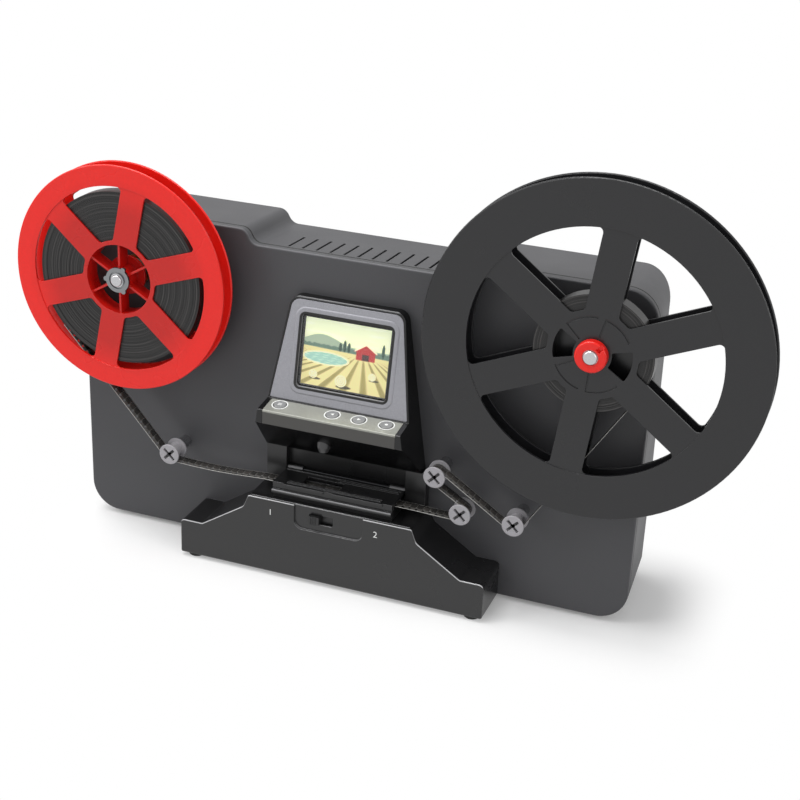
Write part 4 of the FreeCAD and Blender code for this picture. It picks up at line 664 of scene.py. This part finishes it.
turned_steel = metal("free-cutting steel, turned, nickel plated", "#c9c9cb", 0.24, 0.5 * MM, 0.01 * MM)
for node in ("claw_rail", "supply_spindle", "takeup_spindle", "roller_posts"):
    finish(node, turned_steel)
pressed_steel = metal("spring steel washer, pressed, tumbled", "#8e9092", 0.34, 0.4 * MM, 0.012 * MM)
finish("supply_washer", pressed_steel)
sheet_steel = metal("steel sheet, zinc plated", "#a9abad", 0.38, 1.2 * MM, 0.01 * MM)
for node in ("inner_chassis", "feed_motor", "takeup_motor", "card_slot", "data_port"):
    finish(node, sheet_steel)
bronze = metal("sintered bronze", "#b08a55", 0.42, 0.4 * MM, 0.02 * MM)
for node in ("supply_bush", "takeup_bush", "motor_pulley"):
    finish(node, bronze)
black_steel = metal("steel screw, blackened", "#3a3a3c", 0.35, 0.4 * MM, 0.01 * MM)
for node in ("cover_screws", "gate_hinge_pin"):
    finish(node, black_steel)
finish("power_jack", acetal_black)


# Reels. A red 5 in reel and a black 7 in one, each two polystyrene halves from a polished
# mould, snapped together over the hub. The red adapter centres the larger one on its spindle.
# The red is painted brighter at the rim, which is thin and has nothing dark behind it, and darker inwards:
# painted light and shade.
red_styrene = moulded("high-impact polystyrene, moulded, red", "#d41a12",
                      0.28, 1.5 * MM, 0.01 * MM, 0.05, 0.4)
for node in ("supply_reel_front", "supply_reel_rear", "takeup_adapter"):
    finish(node, red_styrene)
tree = red_styrene.node_tree
low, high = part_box("supply_reel_front")
axis = (low + high) / 2
place = add(tree, "ShaderNodeTexCoord").outputs["Object"]
centred = add(tree, "ShaderNodeMapping", {
    "Vector": place, "Location": (-axis.x, 0.0, -axis.z), "Scale": (1.0, 0.0, 1.0)})
far = add(tree, "ShaderNodeVectorMath", {0: centred.outputs[0]}, operation="LENGTH")
# The colour is scaled from 0.9 inside to 1.32 at the rim: painted light at the rim, painted shade on the
# spokes and hub.
thin = add(tree, "ShaderNodeMapRange", {0: far.outputs["Value"], 1: 38 * MM, 2: 56 * MM, 3: 0.9, 4: 1.32})
base, hue = basis(tree)
lit = add(tree, "ShaderNodeVectorMath", {0: hue, "Scale": thin.outputs[0]}, operation="SCALE")
tree.links.new(lit.outputs[0], base)
black_styrene = moulded("high-impact polystyrene, moulded, black", "#1c1c1e",
                        0.3, 1.2 * MM, 0.01 * MM, 0.06, 0.45)
for node in ("takeup_reel_front", "takeup_reel_rear"):
    finish(node, black_styrene)
wool_felt = moulded("wool felt, pressed, grey", "#5a5a55", 0.95, 0.3 * MM, 0.2 * MM)
finish("supply_brake", wool_felt)


# Guide rollers. Four grey acetal rollers with flanges, on steel posts; each has a cross of
# pockets in its face, and a thin dark plate in the pockets is painted shade.
roller_acetal = moulded("acetal, moulded, grey", "#a3a1a5", 0.42, 0.5 * MM, 0.02 * MM)
pocket_shade = moulded("acetal, moulded, grey, in the pockets' shade", "#363537", 0.5, 0.5 * MM, 0.02 * MM)
cross_angles = (45, 135)
cross_deep = 1.0 * MM
for number in range(1, 5):
    node = "roller_%d" % number
    finish(node, roller_acetal)
    low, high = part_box(node)
    axis = np.array([(low.x + high.x) / 2, low.y + cross_deep, (low.z + high.z) / 2])

    def in_pocket(p):
        """Carries face coordinates (right, up, out) to the roller's pockets."""
        return axis + np.stack([p[..., 0], -p[..., 2], p[..., 1]], -1)
    arms = []
    for degrees in cross_angles:
        along = np.array([math.cos(math.radians(degrees)), math.sin(math.radians(degrees))])
        side = np.array([-along[1], along[0]])
        outline = [(-1, 0.35), (-0.7, 1), (-0.3, 1), (-0.12, 0.8), (0.12, 0.8), (0.3, 1), (0.7, 1), (1, 0.35)]
        outline += [(a, -b) for a, b in reversed(outline)]
        arms.append(plate([3.5 * a * along + 1.2 * b * side for a, b in outline], in_pocket))
    cross = joined("cross_in_" + node, arms)
    cross.data.materials.append(pocket_shade)
    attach(cross, "guide_roller_%d" % number)


# Film. Perforated 8 mm acetate film. It runs from the supply reel round the first roller,
# through the gate and round three more rollers onto the take-up reel.
film_width = 8.0 * MM
film_t = 0.15 * MM
film_front_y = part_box("film_strip")[0].y
perforation_pitch = 3.81 * MM
perforation_length = 1.27 * MM
perforation_width = 1.83 * MM
perforation_edge = 0.9 * MM
steps_per_pitch = 6
free_gap = 0.4 * MM


def centre(node):
    """A turned piece's axis in the front view, as x + z i."""
    low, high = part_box(node)
    return complex((low.x + high.x) / 2, (low.z + high.z) / 2)


def touching(start, start_r, end, end_r):
    """The line that touches two circles, its ends and its heading; a radius is plus where the
    way turns left round its circle. A circle's touching point is its centre less the line's
    left-hand unit vector times the radius."""
    gap = end - start
    heading = np.angle(gap) - math.asin((end_r - start_r) / abs(gap))
    left = 1j * np.exp(1j * heading)
    return start - left * start_r, end - left * end_r, heading


def way_round(circles, closed=False):
    """Points of the way round circles (centre, radius): straight runs, and arcs every 2 degrees."""
    pairs = list(zip(circles, circles[1:] + circles[:1]))[:None if closed else -1]
    runs = [touching(a[0], a[1], b[0], b[1]) for a, b in pairs]
    points = []
    for i, (first, last, heading) in enumerate(runs):
        points += [first, last]
        if i + 1 == len(runs) and not closed:
            break
        middle, radius = pairs[i][1]
        turn = runs[(i + 1) % len(runs)][2] - heading
        turn = turn % (2 * np.pi) if radius > 0 else -((-turn) % (2 * np.pi))
        steps = max(2, int(abs(turn) / math.radians(2)))
        headings = heading + turn * np.linspace(0, 1, steps + 1)[1:-1]
        points += list(middle - 1j * np.exp(1j * headings) * radius)
    return np.array(points)


def even_steps(points, step):
    """The same way, at even steps along it: positions, unit headings and distance run."""
    run = np.concatenate([[0], np.cumsum(np.abs(np.diff(points)))])
    at = np.arange(0, run[-1], step)
    spots = np.interp(at, run, points.real) + 1j * np.interp(at, run, points.imag)
    heading = np.gradient(spots)
    return spots, heading / np.abs(heading), at


gate_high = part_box("film_bed")[1]
film_z = gate_high.z - 0.3 * MM
wrap = 4.2 * MM
supply_centre, takeup_centre = centre("supply_reel_front"), centre("takeup_reel_front")
supply_pack = (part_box("supply_film")[1].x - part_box("supply_film")[0].x) / 2
takeup_pack = (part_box("takeup_film")[1].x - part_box("takeup_film")[0].x) / 2
rollers = [centre("roller_%d" % k) for k in range(1, 5)]
sag_radius = 250.0 * MM
ease_radius = 60.0 * MM
film_circles = [
    (supply_centre, supply_pack + free_gap), (rollers[0], wrap),
    (complex(-91.4 * MM, film_z - 1.6 * MM + sag_radius), sag_radius),
    (complex(-56.4 * MM, film_z - ease_radius), -ease_radius),
    (complex(26.6 * MM, film_z - ease_radius), -ease_radius),
    (rollers[2], wrap), (rollers[1], -wrap), (rollers[3], wrap), (takeup_centre, takeup_pack + free_gap)]
spots, headings, run = even_steps(way_round(film_circles), perforation_pitch / steps_per_pitch)
across = np.array([0.0, perforation_edge, perforation_edge + perforation_width, 5.4 * MM, film_width])
strip = np.stack([np.repeat(spots.real[:, None], 5, 1),
                  film_front_y + np.repeat(across[None], len(spots), 0),
                  np.repeat(spots.imag[:, None], 5, 1)], -1)
row, column = np.meshgrid(np.arange(len(spots) - 1), np.arange(4), indexing="ij")
hole = (column == 1) & (row % steps_per_pitch < perforation_length / perforation_pitch * steps_per_pitch)
corner = (row * 5 + column)[~hole]
film_cells = np.stack([corner, corner + 1, corner + 6, corner + 5], 1)
film_run = mesh_object("film_run", strip.reshape(-1, 3), film_cells, 40)
length_map = film_run.data.uv_layers.new(name="film")
order = np.zeros(len(film_run.data.loops), int)
film_run.data.loops.foreach_get("vertex_index", order)
where = np.stack([np.repeat(run, 5), np.tile(across, len(run))], -1)
length_map.data.foreach_set("uv", where[order].ravel())
wall = film_run.modifiers.new("thickness", "SOLIDIFY")
wall.thickness = film_t
wall.offset = 0


def acetate_film():
    """Exposed acetate film: clear grey edges, and between the perforations and the far edge a
    row of dark pictures, one to a pitch, each with its own density."""
    material, tree = new_material("cellulose acetate film, exposed")
    place = add(tree, "ShaderNodeUVMap", uv_map="film")
    split = add(tree, "ShaderNodeSeparateXYZ", {0: place.outputs[0]}).outputs
    turn = add(tree, "ShaderNodeMath", {0: split["X"], 1: perforation_pitch}, operation="DIVIDE")
    part = add(tree, "ShaderNodeMath", {0: turn.outputs[0]}, operation="FRACT")
    number = add(tree, "ShaderNodeMath", {0: turn.outputs[0]}, operation="FLOOR")
    chance = add(tree, "ShaderNodeTexWhiteNoise", {"W": number.outputs[0]}, noise_dimensions="1D")
    long_way = add(tree, "ShaderNodeMath", {0: part.outputs[0], 1: 0.08}, operation="GREATER_THAN")
    inner = add(tree, "ShaderNodeMath", {0: split["Y"], 1: perforation_edge + perforation_width + 0.2 * MM},
                operation="GREATER_THAN")
    outer = add(tree, "ShaderNodeMath", {0: split["Y"], 1: film_width - 0.5 * MM}, operation="LESS_THAN")
    within = add(tree, "ShaderNodeMath", {0: inner.outputs[0], 1: outer.outputs[0]}, operation="MULTIPLY")
    shown = add(tree, "ShaderNodeMath", {0: within.outputs[0], 1: long_way.outputs[0]},
                operation="MULTIPLY")
    density = add(tree, "ShaderNodeMix", {
        0: chance.outputs["Value"], 6: colour("#2c2b29"), 7: colour("#45423f")}, data_type="RGBA")
    inside = add(tree, "ShaderNodeMix", {0: shown.outputs[0], 6: colour("#605e5b"), 7: density.outputs[2]},
                 data_type="RGBA")
    off_middle = add(tree, "ShaderNodeMath", {0: split["Y"], 1: film_width / 2}, operation="SUBTRACT")
    from_middle = add(tree, "ShaderNodeMath", {0: off_middle.outputs[0]}, operation="ABSOLUTE")
    edge = add(tree, "ShaderNodeMath", {0: from_middle.outputs[0], 1: film_width / 2 - 0.45 * MM},
               operation="GREATER_THAN")
    tone = add(tree, "ShaderNodeMix", {0: edge.outputs[0], 6: inside.outputs[2], 7: colour("#a3a29f")},
               data_type="RGBA")
    skin = add(tree, "ShaderNodeBsdfPrincipled", {
        "Base Color": tone.outputs[2], "Roughness": 0.22, "IOR": 1.48})
    add(tree, "ShaderNodeOutputMaterial", {"Surface": skin.outputs[0]})
    return material


film_run.data.materials.append(acetate_film())
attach(film_run, "machine")
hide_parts("film_strip")


# Wound film. Each reel holds one long strip wound edge to edge; single turns stand a little
# proud or shy of the rest, which draws fine light rings on the pack.
wound_t = 0.4 * MM
wound_pitch = 0.46 * MM
steps_per_turn = 120


def wound(name, middle, inner, outer, end_angle, sense):
    """One strip along a spiral: the angle runs back a turn for each pitch that the radius
    shrinks, and the section's two edges shift along the axis with the turn's own offset."""
    turns = (outer - inner) / wound_pitch
    at = np.linspace(0, turns, int(turns * steps_per_turn) + 1)
    angle = end_angle - sense * 2 * np.pi * at
    radius = outer - wound_t / 2 - wound_pitch * at
    offset = np.random.default_rng(7).uniform(-0.16, 0.16, int(turns) + 3) * MM
    shift = np.interp(at, np.arange(len(offset)), offset)
    section = [(wound_t / 2, 0.0), (wound_t / 2, film_width), (-wound_t / 2, film_width), (-wound_t / 2, 0.0)]
    rings = [np.stack([middle.real + (radius + dr) * np.cos(angle), film_front_y + dy + shift,
                       middle.imag + (radius + dr) * np.sin(angle)], -1) for dr, dy in section]
    return skinned(name, np.stack(rings, 1))


def pack_edges(name, middle):
    """The edges of wound film: rings of lighter and darker turns by distance from the axis."""
    material, tree = new_material(name)
    place = add(tree, "ShaderNodeTexCoord").outputs["Object"]
    centred = add(tree, "ShaderNodeMapping", {
        "Vector": place, "Location": (-middle.real, 0.0, -middle.imag), "Scale": (1.0, 0.0, 1.0)})
    far = add(tree, "ShaderNodeVectorMath", {0: centred.outputs[0]}, operation="LENGTH")
    turn = add(tree, "ShaderNodeMath", {0: far.outputs["Value"], 1: 1 / (1.1 * MM)}, operation="MULTIPLY")
    rings = add(tree, "ShaderNodeTexNoise", {"W": turn.outputs[0], "Scale": 1.0, "Detail": 3.0},
                noise_dimensions="1D")
    steps = add(tree, "ShaderNodeMapRange", {0: rings.outputs["Fac"], 1: 0.5, 2: 0.78})
    tone = add(tree, "ShaderNodeMix", {0: steps.outputs[0], 6: colour("#121111"), 7: colour("#4c4a49")},
               data_type="RGBA")
    gloss = add(tree, "ShaderNodeMapRange", {0: rings.outputs["Fac"], 3: 0.28, 4: 0.5})
    skin = add(tree, "ShaderNodeBsdfPrincipled", {
        "Base Color": tone.outputs[2], "Roughness": gloss.outputs[0]})
    add(tree, "ShaderNodeOutputMaterial", {"Surface": skin.outputs[0]})
    return material


first, last = spots[0] - supply_centre, spots[-1] - takeup_centre
supply_hub = 21.4 * MM
takeup_hub = 22.9 * MM
packs = [("supply", supply_centre, supply_hub, supply_pack, np.angle(first), 1, "supply_reel"),
         ("takeup", takeup_centre, takeup_hub, takeup_pack, np.angle(last), -1, "takeup_reel")]
for name, middle, hub, outer, angle, sense, body in packs:
    piece = wound(name + "_film_pack", middle, hub, outer, angle, sense)
    piece.data.materials.append(pack_edges("cellulose acetate film, wound, " + name, middle))
    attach(piece, body)
    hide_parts(name + "_film")


# Drive belt behind the panel: a flat moulded polyurethane band round the two pulleys.
belt_rubber = moulded("polyurethane, moulded, black", "#202020", 0.6, 0.4 * MM, 0.03 * MM)
finish("drive_belt", belt_rubber)
